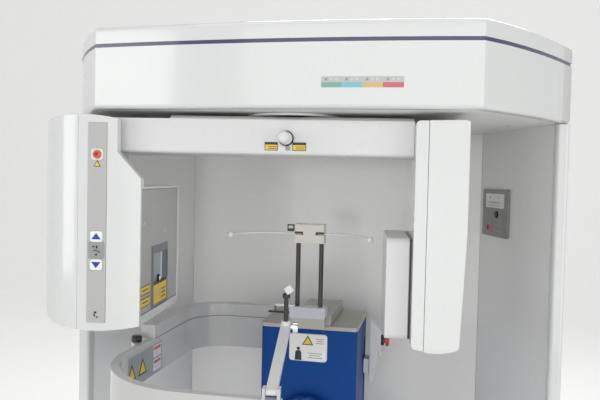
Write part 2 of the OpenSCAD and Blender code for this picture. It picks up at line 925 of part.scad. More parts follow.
// Sealed tank of the tube, hung from the arm's end plate
tank_r = 68;
tank_half = 100;
port_w = 50;
tank_x = 388;
module tube_tank() {
    color("lightslategray")
        parked() {
            translate([-tank_x, 0, ray_z])
                rotate([90, 0, 0])
                    translate([0, 0, -tank_half])
                        cylinder(r = tank_r, h = 2 * tank_half);
            difference() {
                block([-frame_left + 12, -tank_half, ray_z], [-frame_left + 50, 34, plate_low + 50]);
                translate([-tank_x, 0, ray_z])
                    rotate([90, 0, 0])
                        translate([0, 0, -tank_half - 1])
                                cylinder(r = tank_r - 1, h = 2 * tank_half + 2);
            }
            translate([-tank_x + 40, -port_w / 2, ray_z - port_w / 2])
                cube([38, port_w, port_w]);
        }
}

// Front view of the detector housing
det_mid = 312;
det_taper = 12;
det_round = 8;
module det_view() {
    polygon([[det_inner, det_bottom + 9 + det_round], [det_inner + 2, det_bottom + 9],
             [det_inner + 8, det_bottom + 6], [det_mid - 10, det_bottom], [det_mid + 12, det_bottom],
             [det_outer - det_taper - 12, det_bottom + 5], [det_outer - det_taper - 3, det_bottom + 9],
             [det_outer - det_taper, det_bottom + 18],
             [det_outer, det_bottom + 315], [det_outer, det_top - 12], [det_outer - 3, det_top - 3],
             [det_outer - 12, det_top], [det_inner + 8, det_top - 2], [det_inner + 2, det_top - 4],
             [det_inner, det_top - 10]]);
}

det_side_r = 4000;
module det_plan(shrink) {
    intersection() {
        translate([0, -housing_half + shrink])
            square([det_outer - shrink, 2 * housing_half - 2 * shrink]);
        translate([det_outer - shrink - det_side_r, 0])
            circle(r = det_side_r, $fn = 720);
    }
}

module det_solid() {
    intersection() {
        front_extrude(-housing_half - 1, housing_half + 1)
            det_view();
        translate([0, 0, det_bottom - 1])
            linear_extrude(det_top - det_bottom + 2)
                det_plan(0);
    }
}

det_seam = 290;
module detector_cover() {
    color("white")
        parked()
            difference() {
                det_solid();
                block([0, -housing_half - 2, 0], [det_seam + gap, housing_half + 2, head_top]);
                intersection() {
                    block([det_seam - 1, -housing_half + cover_t, det_bottom + 14],
                          [det_outer, housing_half - cover_t, det_top - 8]);
                    linear_extrude(head_top)
                        det_plan(cover_t + det_taper);
                }
            }
}

module detector_edge() {
    color("white")
        parked()
            difference() {
                det_solid();
                block([det_seam, -housing_half - 2, 0], [det_outer + 20, housing_half + 2, head_top]);
                block([det_inner + cover_t, -housing_half + cover_t, det_bottom + 14],
                      [det_seam + 1, housing_half - cover_t, det_top - 8]);
                block([det_inner - 1, -beam_frame_half - 1, beam_bottom + 7],
                      [det_inner + 6, beam_frame_half + 1, beam_frame_top + 1]);
            }
}

sensor_back = det_inner - 4;
module sensor_cover() {
    color("white")
        parked()
            translate([sensor_face, 0, (sensor_bottom + sensor_top) / 2])
                rotate([90, 0, 90])
                    difference() {
                        rounded_plate(2 * sensor_half, sensor_top - sensor_bottom, sensor_back - sensor_face, 14);
                        translate([0, 0, cover_t])
                            rounded_plate(2 * sensor_half - 2 * cover_t, sensor_top - sensor_bottom - 2 * cover_t,
                                          sensor_back - sensor_face, 10);
                    }
}

module flat_panel() {
    color("black")
        parked()
            translate([0, 0, (sensor_bottom + sensor_top) / 2]) {
                block([sensor_face + 12, -sensor_half + 14, -88], [sensor_back, sensor_half - 14, 88]);
                block([sensor_back, -sensor_half + 3, -(sensor_top - sensor_bottom) / 2 + 3],
                      [det_inner, sensor_half - 3, (sensor_top - sensor_bottom) / 2 - 3]);
            }
}

// Positioning light in the middle of the beam
knob_x = -4;
knob_z = beam_top - 39;
knob_pin_r = 5;
module laser_knob() {
    color("whitesmoke")
        parked()
            translate([knob_x, -beam_half - 0.4, knob_z])
                rotate([90, 0, 0])
                    rotate_extrude()
                        polygon([[0, -8], [knob_pin_r, -8], [knob_pin_r, 0], [14, 0], [14, 5], [11, 8], [9, 9],
                                 [9, 38], [12.5, 41], [13, 49], [11, 53], [7, 56], [0, 57]]);
}

// Lift column

mast_half = 84;
mast_top = 1040;
mast_front = column_y + column_d + 26;
rail_w = 14;
rail_h = 12;
module lift_mast() {
    color("silver")
        difference() {
            union() {
                block([-mast_half, mast_front, floor_z], [mast_half, wall_y, mast_top]);
                for (s = [-1, 1])
                    block([s * 58 - rail_w / 2, mast_front - rail_h, floor_z + 30],
                          [s * 58 + rail_w / 2, mast_front + eps, mast_top - 10]);
            }
            block([-mast_half + 8, mast_front + 8, floor_z + 8], [mast_half - 8, wall_y - 8, mast_top - 8]);
        }
}

actuator_y = column_y + 96;
actuator_r = 30;
actuator_rod_r = 17;
actuator_top = 760;
module actuator_tube() {
    color("dimgray")
        translate([0, actuator_y, 0]) {
            difference() {
                translate([0, 0, floor_z])
                    cylinder(r = actuator_r, h = actuator_top - floor_z);
                translate([0, 0, floor_z + 12])
                    cylinder(r = actuator_rod_r + slide_gap, h = actuator_top);
            }
        }
}

module actuator_rod() {
    color("gainsboro")
        translate([0, actuator_y, actuator_top - 60])
            cylinder(r = actuator_rod_r, h = cap_z - cap_h - actuator_top + 60);
}

column_front_r = 12;
module column_outline(grow) {
    translate([0, column_y + column_d / 2])
        rounded_outline(column_w + 2 * grow, column_d + 2 * grow, column_front_r + grow);
}

module column_shell() {
    color("mediumblue")
        difference() {
            union() {
                difference() {
                    translate([0, 0, seat_z + 8])
                        linear_extrude(cap_z - cap_h - seat_z - 8)
                            column_outline(0);
                    translate([0, 0, seat_z + 8 + column_t])
                        linear_extrude(cap_z)
                            column_outline(-column_t);
                }
                // blocks that run on the mast's two rails
                for (s = [-1, 1], z = [640, 920])
                    difference() {
                        block([s * 58 - 22, column_y + column_d - eps, z],
                              [s * 58 + 22, mast_front - 1, z + 70]);
                        block([s * 58 - rail_w / 2 - slide_gap, mast_front - rail_h - slide_gap, z - 1],
                              [s * 58 + rail_w / 2 + slide_gap, mast_front, z + 71]);
                    }
            }
            block([column_w / 2 - 2, column_y + 40, 800], [column_w, column_y + column_d - 30, 1060]);
            translate([0, actuator_y, seat_z])
                cylinder(r = actuator_r + 3, h = 20);
        }
}

module column_cap() {
    color("gray")
        translate([0, 0, cap_z - cap_h])
            linear_extrude(cap_h)
                column_outline(2);
}

// Channel on the cap in which the head support slides
rail_half = 50;
tongue_half = 34;
tongue_lo = cap_z + 5;
tongue_hi = cap_z + 23;
rail_top = cap_z + 28;
rail_back = column_y + 228;
tongue_back = column_y + 170;
module rail_housing() {
    color("silver")
        translate([head_x, 0, 0])
        difference() {
            block([-rail_half, column_y + 2, cap_z], [rail_half, rail_back, rail_top]);
            block([-tongue_half - slide_gap, column_y, tongue_lo - slide_gap],
                  [tongue_half + slide_gap, tongue_back + 4, tongue_hi + slide_gap]);
        }
}

carriage_d = 34;
carriage_y = head_y - 4;
module head_carriage() {
    color("lavender")
        translate([head_x, 0, 0]) {
            difference() {
                union() {
                    block([-tongue_half, carriage_y - carriage_d / 2, tongue_lo], [tongue_half, tongue_back, tongue_hi]);
                    block([-45, carriage_y - carriage_d / 2, tongue_lo],
                          [45, carriage_y + carriage_d / 2, carriage_top - carriage_t]);
                    translate([0, carriage_y, carriage_top - carriage_t])
                        rounded_plate(carriage_w, carriage_d, carriage_t, 3);
                }
                for (s = [-1, 1])
                    translate([s * head_rod_dx / 2, head_y, carriage_top - rod_seat])
                        cylinder(r = head_rod_r, h = 20);
            }
            translate([lever_x, lever_y, carriage_top - 1])
                cylinder(r = 3, h = lever_t + 1 + 2 * slide_gap);
        }
}

lever_x = -41;
lever_y = head_y - 16;
rod_seat = 8;
lever_t = 6;
module slide_lever() {
    color("white")
        translate([head_x + lever_x, lever_y, carriage_top + slide_gap])
            linear_extrude(lever_t)
                difference() {
                    union() {
                        circle(r = 9);
                        polygon([[0, 9], [-37, 7], [-37, -7], [0, -9]]);
                        translate([-37, 0])
                            circle(r = 8);
                    }
                    circle(r = 3 + run_gap);
                }
}

module head_rods() {
    color("black")
        for (s = [-1, 1])
            translate([head_x + s * head_rod_dx / 2, head_y, carriage_top - rod_seat])
                cylinder(r = head_rod_r, h = block_z + 14 - carriage_top + rod_seat);
}

temple_pivot = 26;
temple_y = head_y - 3;
temple_t = 5;
module head_block() {
    translate([head_x, 0, 0]) {
        color("ivory")
            difference() {
                translate([0, head_y, block_z])
                    rounded_plate(block_w, block_d, block_h, 2.5);
                for (s = [-1, 1]) {
                    translate([s * head_rod_dx / 2, head_y, block_z - 1])
                        cylinder(r = head_rod_r, h = 15);
                    block([min(s * 16, s * 60), head_y - block_d, temple_z - temple_t / 2 - slide_gap],
                          [max(s * 16, s * 60), head_y + 8, temple_z + temple_t / 2 + slide_gap]);
                }
                block([-28, head_y - block_d, block_z + block_h - 2], [28, head_y - 9, block_z + block_h + 1]);
            }
        color("silver")
            for (s = [-1, 1])
                translate([s * temple_pivot, temple_y, temple_z - temple_t / 2 - slide_gap])
                    cylinder(r = 2.5, h = temple_t + 2 * slide_gap);
    }
}

// Thin arm that leaves the block sideways and bends forward to its ball end
temple_run = 62;
temple_sweep = 84;
temple_wire = 2.8;
module temple_arm(run) {
    translate([temple_pivot, temple_y, temple_z]) {
        difference() {
            translate([0, 0, -temple_t / 2])
                cylinder(r = 6.5, h = temple_t);
            translate([0, 0, -temple_t])
                cylinder(r = 2.5 + run_gap, h = 2 * temple_t);
        }
        translate([5, -2, 0])
            rotate([0, 90, 0])
                cylinder(r = 2.4, h = run - temple_pivot - 5);
    }
    // ferrule that joins the straight part to the bend
    translate([run - 3, temple_y - 2, temple_z])
        rotate([0, 90, 0])
            cylinder(r = 4, h = 6);
    translate([run, temple_y - 2 - temple_r, temple_z])
        rotate([0, 0, 90 - temple_sweep]) {
            rotate_extrude(angle = temple_sweep, $fn = 64)
                translate([temple_r, 0])
                    circle(r = temple_wire, $fn = 16);
            translate([temple_r, -3, 0])
                sphere(r = 8, $fn = 24);
        }
}

module temple_right() {
    color("silver")
        translate([head_x, 0, 0])
            temple_arm(temple_run - head_x);
}

module temple_left() {
    color("silver")
        translate([head_x, 0, 0])
            mirror([1, 0, 0])
                temple_arm(temple_run + head_x);
}

// Bracket with the emergency stop beside the column
bracket_x = column_w / 2;
bracket_y = [column_y + 172, column_y + 226];
bracket_in = bracket_x + 17;
bracket_out = bracket_in + 28;
stop_x = bracket_out + 3;
stop_z = cap_z - 76;
stop_y = column_y + 201;
bracket_low = stop_z - 118;
stop_base_h = 8;
module side_bracket() {
    color("white")
        union() {
            front_extrude(bracket_y[0], bracket_y[1])
                polygon([[bracket_in, stop_z + 65], [bracket_out, stop_z + 36], [bracket_out, stop_z - 12],
                         [bracket_in + 14, bracket_low + 16], [bracket_in + 5, bracket_low], [bracket_in, bracket_low]]);
            block([bracket_x, bracket_y[0] + 4, stop_z - 92], [bracket_in + 2, bracket_y[1] - 4, stop_z - 52]);
            block([bracket_out - 2, bracket_y[0], stop_z - 42], [stop_x, bracket_y[1], stop_z + 34]);
        }
}

module on_stop(depth) {
    translate([stop_x + depth, stop_y, stop_z])
        rotate([0, 90, 0])
            children();
}

module stop_base() {
    color("black")
        on_stop(0)
            difference() {
                cylinder(r = 15, h = stop_base_h);
                translate([0, 0, 0.5])
                    cylinder(r = 8 + slide_gap, h = stop_base_h);
            }
}

module stop_button() {
    color("red")
        on_stop(4.5)
            rotate_extrude()
                polygon([[0, 0], [8, 0], [8, 8.5], [17, 9.5], [17, 14], [14, 18], [0, 19]]);
}

// Plan of the fixed ring: along the back, round the corner and forward at the left
ring_attach = column_w / 2;
module ring_path(t0, t1, front, last) {
    x0 = -ring_x;
    cx = -ring_x + ring_rear_r;
    cy = ring_back - ring_rear_r;
    difference() {
        union() {
            translate([cx, cy])
                circle(r = ring_rear_r + t1, $fn = 96);
            translate([x0 - t1, front])
                square([t1 + ring_rear_r, cy - front]);
            translate([cx, ring_back - ring_rear_r])
                square([last - cx, ring_rear_r + t1]);
        }
        translate([cx, cy])
            circle(r = ring_rear_r + t0, $fn = 96);
        translate([x0 - t0, front - 1])
            square([2 * ring_x, cy - front + 1]);
        translate([cx, ring_back - ring_rear_r - 1])
            square([ring_x, ring_rear_r + t0 + 1]);
    }
}

module ring_arm() {
    color("lightgray")
        difference() {
            union() {
                translate([0, 0, ring_bottom])
                    linear_extrude(ring_top - ring_bottom + eps)
                        ring_path(0, band_t, gate_split + gate_gap, -ring_attach - slide_gap);
                translate([0, 0, ring_top])
                    linear_extrude(bar_top - ring_top)
                        ring_path(0, bar_w, bar_end, -ring_attach - 2 - slide_gap);
                for (z = [ring_bottom + 34])
                    translate([-hinge_x, hinge_y, z])
                        linear_extrude(26)
                            union() {
                                circle(r = hinge_r);
                                polygon([[0, hinge_r], [25, hinge_r], [25, -6], [0, -hinge_r]]);
                            }
            }
            translate([-hinge_x, hinge_y, ring_bottom])
                cylinder(r = hinge_pin_r + run_gap, h = ring_top);
        }
}

// Swinging gate: forward at the left, round the front corner and across to the middle
module gate_path() {
    cx = -ring_x + gate_r;
    cy = -gate_front + gate_r;
    difference() {
        union() {
            translate([-ring_x - band_t, cy])
                square([band_t + 1, gate_split - cy]);
            intersection() {
                translate([cx, cy])
                    circle(r = gate_r + band_t, $fn = 128);
                translate([-ring_x - band_t, -gate_front - band_t])
                    square([gate_r + band_t, gate_r + band_t]);
            }
            translate([cx - eps, -gate_front - band_t])
                square([gate_tip - cx, band_t]);
        }
        intersection() {
            translate([cx, cy])
                circle(r = gate_r, $fn = 128);
            translate([-ring_x - 1, -gate_front - 1])
                square([gate_r + 1 + 2 * eps, gate_r + 1]);
        }
        translate([-ring_x, cy - eps])
            square([10, gate_split - cy + 1]);
    }
}

chin_pin_r = 4;
chin_yoke_w = chin_w + 12;
module gate_arm() {
    color("lightgray")
        difference() {
            union() {
                translate([0, 0, ring_bottom])
                    linear_extrude(ring_top - ring_bottom)
                        gate_path();
                for (z = [ring_bottom + 8, ring_bottom + 62])
                    translate([-hinge_x, hinge_y, z])
                        linear_extrude(24)
                            union() {
                                circle(r = hinge_r);
                                polygon([[-hinge_r, 0], [hinge_r, -4], [hinge_r + 13, -26], [hinge_r + 11, -hinge_y - 8]]);
                            }
                // yoke for the chin arm
                translate([chin_x, -gate_front - band_t / 2, 0])
                    rotate([0, 0, chin_turn])
                        for (s = [-1, 1])
                            translate([s * (chin_w / 2 + 3.5) - 3, 0, ring_top - 1])
                                block([0, -10, 0], [6, 10, chin_z + 9 - ring_top + 1]);
            }
            translate([-hinge_x, hinge_y, ring_bottom])
                cylinder(r = hinge_pin_r, h = ring_top);
            translate([chin_x, -gate_front - band_t / 2, chin_z])
                rotate([0, 0, chin_turn])
                    rotate([0, 90, 0])
                        translate([0, 0, -chin_yoke_w])
                            cylinder(r = chin_pin_r, h = 2 * chin_yoke_w);
        }
}

// Hinge pin with its black cap
module hinge_cap() {
    color("black")
        translate([-hinge_x, hinge_y, 0]) {
            translate([0, 0, ring_bottom + 8])
                cylinder(r = hinge_pin_r, h = 79);
            translate([0, 0, ring_bottom + 86])
                rotate_extrude()
                    polygon([[0, 0], [hinge_r, 0], [hinge_r, 12], [hinge_r - 3, 16], [0, 17]]);
        }
}

module at_chin() {
    translate([chin_x, -gate_front - band_t / 2, chin_z])
        rotate([0, 0, chin_turn])
            children();
}

rod_socket_h = 26;
module chin_arm() {
    color("white")
        at_chin()
            difference() {
                union() {
                    rotate([chin_slope, 0, 0])
                        translate([-chin_w / 2, 0, -chin_t / 2])
                            cube([chin_w, chin_len, chin_t]);
                    rotate([0, 90, 0])
                        cylinder(r = chin_t / 2, h = chin_w, center = true);
                    translate([0, chin_len * cos(chin_slope), chin_len * sin(chin_slope) - rod_socket_h / 2])
                        cylinder(r = chin_w / 2, h = rod_socket_h);
                    rotate([0, 90, 0])
                        cylinder(r = chin_pin_r - run_gap, h = chin_w + 13, center = true);
                }
                translate([0, chin_len * cos(chin_slope), 0])
                    cylinder(r = rod_r + run_gap, h = 200);
                translate([0, chin_len * cos(chin_slope) , chin_len * sin(chin_slope)])
                    rotate([0, 90, 0])
                        cylinder(r = 3 + run_gap, h = 30);
            }
}

rod_below = 24;
module chin_rod() {
    color("black")
        at_chin()
            translate([0, chin_len * cos(chin_slope), chin_len * sin(chin_slope)]) {
                translate([0, 0, -rod_below])
                    cylinder(r = rod_r, h = rod_len + rod_below);
                translate([0, 0, rod_len])
                    rotate_extrude()
                        polygon([[0, -2], [7.5, -2], [8.5, 0], [8.5, 6], [6, 9], [0, 10]]);
            }
}

module clamp_knob() {
    color("silver")
        at_chin()
            translate([chin_w / 2 + 1, chin_len * cos(chin_slope), chin_len * sin(chin_slope)])
                rotate([0, 90, 0])
                    difference() {
                        rotate_extrude()
                            polygon([[0, -5], [3, -5], [3, 0], [7, 0], [7, 4], [12.5, 5], [13.5, 7], [13.5, 14],
                                     [12, 16], [0, 17]]);
                        for (a = [0 : 45 : 315])
                            rotate([0, 0, a])
                                translate([15, 0, 4])
                                    cylinder(r = 3, h = 20, $fn = 24);
                    }
}

// Seat

seat_frame_t = 10;
module seat_bracket() {
    color("gray")
        difference() {
            union() {
                block([-100, -seat_front + 50, seat_z - seat_frame_t], [100, column_y + column_d - 10, seat_z]);
                for (s = [-1, 1])
                    block([s * 84 - 5, -seat_front + 60, seat_z - 60], [s * 84 + 5, column_y + column_d - 20, seat_z]);
                block([-column_w / 2 + 20, column_y + 10, seat_z - eps],
                      [column_w / 2 - 20, column_y + column_d - 10, seat_z + 8]);
            }
            translate([0, actuator_y, seat_z - seat_frame_t - 2])
                cylinder(r = actuator_r + 3, h = 30);
        }
}

module seat_pad() {
    color("mediumblue")
        translate([0, (column_y - 8 - seat_front) / 2, seat_z])
            rounded_plate(2 * seat_half, column_y - 8 + seat_front, seat_pad_t, 50);
}

module back_pad() {
    color("mediumblue")
        front_extrude(column_y - back_pad_t, column_y)
            union() {
                translate([0, back_pad_top - back_pad_half])
                    circle(r = back_pad_half, $fn = 72);
                translate([-back_pad_half, seat_z + seat_pad_t + 12])
                    square([2 * back_pad_half, back_pad_top - back_pad_half - seat_z - seat_pad_t - 12]);
            }
}

floor_base();
levelling_feet();
back_wall();
wing_panels();
edge_trims();
outer_shell();
head_shell();
accent_band();
head_cap();
underside_pan();
hub_ring();
main_frame();
bearing_ring();
drive_motor();
drive_belt();
wall_plate();
lift_mast();
actuator_tube();
motor_pulley();
wall_button();
hub_shaft();
gantry_frame();
beam_cover();
beam_lid();
tube_cover();
tube_side_cover();
control_strip();
signal_lamp();
inner_panel();
ray_window();
tube_tank();
detector_cover();
detector_edge();
sensor_cover();
flat_panel();
up_button();
down_button();
laser_knob();
column_shell();
column_cap();
rail_housing();
side_bracket();
stop_base();
ring_arm();
seat_bracket();
seat_pad();
back_pad();
actuator_rod();
stop_button();
gate_arm();
hinge_cap();
chin_arm();
chin_rod();
clamp_knob();
head_carriage();
slide_lever();
head_rods();
head_block();
temple_left();
temple_right();
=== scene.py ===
import math

import bpy
from mathutils import Matrix, Vector


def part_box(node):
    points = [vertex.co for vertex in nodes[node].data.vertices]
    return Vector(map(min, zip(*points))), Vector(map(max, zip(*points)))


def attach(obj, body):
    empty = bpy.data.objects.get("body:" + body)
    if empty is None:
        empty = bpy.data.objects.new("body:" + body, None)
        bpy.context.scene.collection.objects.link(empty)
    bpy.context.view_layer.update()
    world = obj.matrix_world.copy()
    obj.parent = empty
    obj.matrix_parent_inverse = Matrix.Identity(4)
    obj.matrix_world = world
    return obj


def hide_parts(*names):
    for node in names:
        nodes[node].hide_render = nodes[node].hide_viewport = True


print("stage: frame")
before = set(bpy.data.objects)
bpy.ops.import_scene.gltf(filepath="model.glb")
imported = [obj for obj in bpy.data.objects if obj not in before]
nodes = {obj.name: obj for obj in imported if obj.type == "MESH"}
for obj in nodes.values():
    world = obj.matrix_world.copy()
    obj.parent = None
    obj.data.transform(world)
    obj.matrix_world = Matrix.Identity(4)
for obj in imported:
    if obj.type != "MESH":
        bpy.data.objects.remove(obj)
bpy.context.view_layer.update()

# The gantry is parked a little turned, so its own directions serve for everything on it
parkAngle = math.radians(6.3)
gantryTurn = Matrix.Rotation(parkAngle, 4, "Z")


# Node tools. Those named add... place one node and give back its output: addSplit gives all three, addDrift the node
def newMaterial(name):
    mat = bpy.data.materials.new(name)
    mat.use_nodes = True
    tree = mat.node_tree
    tree.nodes.clear()
    out = tree.nodes.new("ShaderNodeOutputMaterial")
    shader = tree.nodes.new("ShaderNodeBsdfPrincipled")
    tree.links.new(shader.outputs["BSDF"], out.inputs["Surface"])
    return mat, tree, shader


# A socket takes a link where the value comes from a node, and otherwise the value itself
def feed(tree, value, socket):
    if isinstance(value, bpy.types.NodeSocket):
        tree.links.new(value, socket)
    else:
        socket.default_value = value


def objectCoords(tree, scale=(1, 1, 1)):
    coords = tree.nodes.new("ShaderNodeTexCoord")
    mapping = tree.nodes.new("ShaderNodeMapping")
    mapping.inputs["Scale"].default_value = scale
    tree.links.new(coords.outputs["Object"], mapping.inputs["Vector"])
    return mapping.outputs["Vector"]


def addNoise(tree, vector, scale, detail=3.0, roughness=0.5):
    noise = tree.nodes.new("ShaderNodeTexNoise")
    feed(tree, scale, noise.inputs["Scale"])
    noise.inputs["Detail"].default_value = detail
    noise.inputs["Roughness"].default_value = roughness
    tree.links.new(vector, noise.inputs["Vector"])
    return noise.outputs["Fac"]


def addRange(tree, value, low, high, fromLow=0.3, fromHigh=0.7):
    span = tree.nodes.new("ShaderNodeMapRange")
    span.inputs["From Min"].default_value = fromLow
    span.inputs["From Max"].default_value = fromHigh
    span.inputs["To Min"].default_value = low
    span.inputs["To Max"].default_value = high
    tree.links.new(value, span.inputs["Value"])
    return span.outputs["Result"]


def addMath(tree, operation, *values, clamp=False):
    node = tree.nodes.new("ShaderNodeMath")
    node.operation = operation
    node.use_clamp = clamp
    for value, socket in zip(values, node.inputs):
        feed(tree, value, socket)
    return node.outputs[0]


def addMix(tree, factor, first, second):
    node = tree.nodes.new("ShaderNodeMix")
    node.data_type = "RGBA"
    feed(tree, factor, node.inputs["Factor"])
    feed(tree, first, node.inputs["A"])
    feed(tree, second, node.inputs["B"])
    return node.outputs["Result"]


def addSplit(tree, vector):
    node = tree.nodes.new("ShaderNodeSeparateXYZ")
    tree.links.new(vector, node.inputs[0])
    return node.outputs


def bumpFrom(tree, shader, height, strength, distance):
    bump = tree.nodes.new("ShaderNodeBump")
    bump.inputs["Strength"].default_value = strength
    bump.inputs["Distance"].default_value = distance
    tree.links.new(height, bump.inputs["Height"])
    tree.links.new(bump.outputs["Normal"], shader.inputs["Normal"])


def newGroup(name, inputs, outputs):
    group = bpy.data.node_groups.new(name, "ShaderNodeTree")
    for label, kind, value in inputs:
        socket = group.interface.new_socket(name=label, in_out="INPUT", socket_type=kind)
        socket.default_value = value
    for label, kind in outputs:
        group.interface.new_socket(name=label, in_out="OUTPUT", socket_type=kind)
    return group, group.nodes.new("NodeGroupInput"), group.nodes.new("NodeGroupOutput")


# Colour drift and dust of a moulded or painted surface: two noises mixed over the base colour
driftLook = {"broadScale": 2.4, "fineScale": 38.0, "roughSwing": 0.035}


def buildSurfaceDrift():
    group, into, out = newGroup("surfaceDrift", [
        ("Colour", "NodeSocketColor", (0.8, 0.8, 0.8, 1)),
        ("Shade", "NodeSocketColor", (0.7, 0.7, 0.7, 1)),
        ("Drift", "NodeSocketFloat", 0.25),
        ("Dust", "NodeSocketFloat", 0.05),
        ("Grain Size", "NodeSocketFloat", 400.0),
        ("Roughness", "NodeSocketFloat", 0.3)],
        [("Colour", "NodeSocketColor"), ("Roughness", "NodeSocketFloat"), ("Height", "NodeSocketFloat")])
    coords = objectCoords(group)
    broad = addNoise(group, coords, driftLook["broadScale"], 4.0)
    fine = addNoise(group, coords, driftLook["fineScale"], 5.0, 0.6)
    grain = addNoise(group, coords, into.outputs["Grain Size"], 2.0)
    drifted = addMath(group, "MULTIPLY", addRange(group, broad, 0.0, 1.0), into.outputs["Drift"])
    dusty = addMath(group, "MULTIPLY", addRange(group, fine, 0.0, 1.0, 0.45, 0.75), into.outputs["Dust"])
    total = addMath(group, "ADD", drifted, dusty, clamp=True)
    colour = addMix(group, total, into.outputs["Colour"], into.outputs["Shade"])
    rough = addMath(group, "MULTIPLY_ADD", addRange(group, fine, -1.0, 1.0),
                    driftLook["roughSwing"], into.outputs["Roughness"])
    group.links.new(colour, out.inputs["Colour"])
    group.links.new(rough, out.inputs["Roughness"])
    group.links.new(grain, out.inputs["Height"])
    return group


surfaceDrift = buildSurfaceDrift()


def addDrift(tree, colour, shade, rough):
    drift = tree.nodes.new("ShaderNodeGroup")
    drift.node_tree = surfaceDrift
    drift.inputs["Colour"].default_value = (*colour, 1)
    drift.inputs["Shade"].default_value = (*shade, 1)
    drift.inputs["Roughness"].default_value = rough
    return drift


# Every plain finish: colour, the colour it drifts to, roughness, grain size, grain depth, clear coat,
# and where it isn't the usual one, the gleam
finishFields = ("colour", "shade", "rough", "grain", "depth", "coat", "gleam")
plainLook = {"bumpDistance": 0.0005, "coatRough": 0.06, "gleam": 0.5}
finishes = {
    "glossWhite": ((0.70, 0.715, 0.705), (0.65, 0.665, 0.655), 0.16, 900, 0.02, 0.5),
    "satinWhite": ((0.70, 0.705, 0.70), (0.65, 0.655, 0.65), 0.30, 1200, 0.04, 0.0),
    "panelGrey": ((0.84, 0.835, 0.815), (0.80, 0.795, 0.775), 0.22, 700, 0.03, 0.3),
    "wingGrey": ((0.86, 0.86, 0.845), (0.82, 0.82, 0.805), 0.24, 700, 0.03, 0.3),
    "panGrey": ((0.80, 0.80, 0.785), (0.75, 0.75, 0.735), 0.40, 900, 0.05, 0.0),
    "stripGrey": ((0.60, 0.615, 0.61), (0.55, 0.565, 0.56), 0.30, 1200, 0.03, 0.0),
    "controlGrey": ((0.46, 0.465, 0.455), (0.43, 0.435, 0.425), 0.34, 1200, 0.02, 0.0),
    "ringField": ((0.34, 0.37, 0.385), (0.31, 0.34, 0.355), 0.34, 1200, 0.02, 0.0),
    "keyField": ((0.30, 0.31, 0.31), (0.26, 0.27, 0.27), 0.32, 1200, 0.03, 0.0),
    "darkPanel": ((0.40, 0.395, 0.385), (0.37, 0.365, 0.355), 0.24, 800, 0.02, 0.3),
    "slateBlue": ((0.165, 0.18, 0.205), (0.15, 0.165, 0.19), 0.36, 900, 0.03, 0.2),
    "bandBlue": ((0.045, 0.043, 0.12), (0.06, 0.055, 0.14), 0.22, 900, 0.02, 0.4),
    "deepBlue": ((0.006, 0.060, 0.26), (0.004, 0.048, 0.21), 0.38, 600, 0.02, 0.0, 0.12),
    "cream": ((0.76, 0.74, 0.68), (0.71, 0.69, 0.63), 0.42, 1500, 0.05, 0.0),
    "capGrey": ((0.46, 0.455, 0.41), (0.41, 0.405, 0.37), 0.34, 1000, 0.04, 0.0),
    "armGrey": ((0.82, 0.82, 0.80), (0.77, 0.77, 0.75), 0.20, 1000, 0.02, 0.5),
    "rodBrown": ((0.045, 0.042, 0.036), (0.060, 0.056, 0.050), 0.38, 1200, 0.04, 0.0),
    "plateGrey": ((0.27, 0.275, 0.265), (0.24, 0.245, 0.235), 0.34, 900, 0.03, 0.0),
    "black": ((0.012, 0.012, 0.014), (0.020, 0.020, 0.022), 0.32, 1500, 0.05, 0.0),
    "glossBlack": ((0.010, 0.010, 0.012), (0.016, 0.016, 0.018), 0.12, 1200, 0.01, 0.6),
    "rubber": ((0.020, 0.020, 0.021), (0.030, 0.030, 0.030), 0.62, 900, 0.12, 0.0),
    "ringPaint": ((0.56, 0.56, 0.555), (0.51, 0.51, 0.505), 0.20, 900, 0.03, 0.4),
    "basePaint": ((0.42, 0.43, 0.43), (0.36, 0.37, 0.37), 0.45, 500, 0.15, 0.0),
    "framePaint": ((0.12, 0.14, 0.17), (0.10, 0.12, 0.14), 0.42, 600, 0.12, 0.0),
    "red": ((0.62, 0.012, 0.02), (0.50, 0.010, 0.016), 0.24, 900, 0.02, 0.4),
    "yellow": ((0.80, 0.58, 0.03), (0.74, 0.52, 0.03), 0.35, 1500, 0.01, 0.0),
    "labelWhite": ((0.80, 0.80, 0.78), (0.74, 0.74, 0.72), 0.38, 1500, 0.01, 0.0),
    "keyWhite": ((0.86, 0.87, 0.87), (0.82, 0.83, 0.83), 0.30, 1500, 0.01, 0.0),
    "labelGrey": ((0.50, 0.52, 0.50), (0.46, 0.48, 0.46), 0.38, 1500, 0.01, 0.0),
    "fieldTeal": ((0.20, 0.42, 0.34), (0.18, 0.38, 0.31), 0.38, 1500, 0.01, 0.0),
    "fieldCyan": ((0.22, 0.50, 0.60), (0.20, 0.46, 0.55), 0.38, 1500, 0.01, 0.0),
    "fieldAmber": ((0.66, 0.46, 0.20), (0.60, 0.42, 0.18), 0.38, 1500, 0.01, 0.0),
    "fieldRose": ((0.58, 0.14, 0.18), (0.52, 0.12, 0.16), 0.38, 1500, 0.01, 0.0),
    "markBlue": ((0.012, 0.040, 0.34), (0.010, 0.034, 0.30), 0.35, 1500, 0.01, 0.0),
}


def plainFinish(name, values):
    spec = dict(zip(finishFields, values))
    mat, tree, shader = newMaterial(name)
    drift = addDrift(tree, spec["colour"], spec["shade"], spec["rough"])
    drift.inputs["Grain Size"].default_value = spec["grain"]
    tree.links.new(drift.outputs["Colour"], shader.inputs["Base Color"])
    tree.links.new(drift.outputs["Roughness"], shader.inputs["Roughness"])
    bumpFrom(tree, shader, drift.outputs["Height"], spec["depth"], plainLook["bumpDistance"])
    shader.inputs["Coat Weight"].default_value = spec["coat"]
    shader.inputs["Specular IOR Level"].default_value = spec.get("gleam", plainLook["gleam"])
    shader.inputs["Coat Roughness"].default_value = plainLook["coatRough"]
    return mat


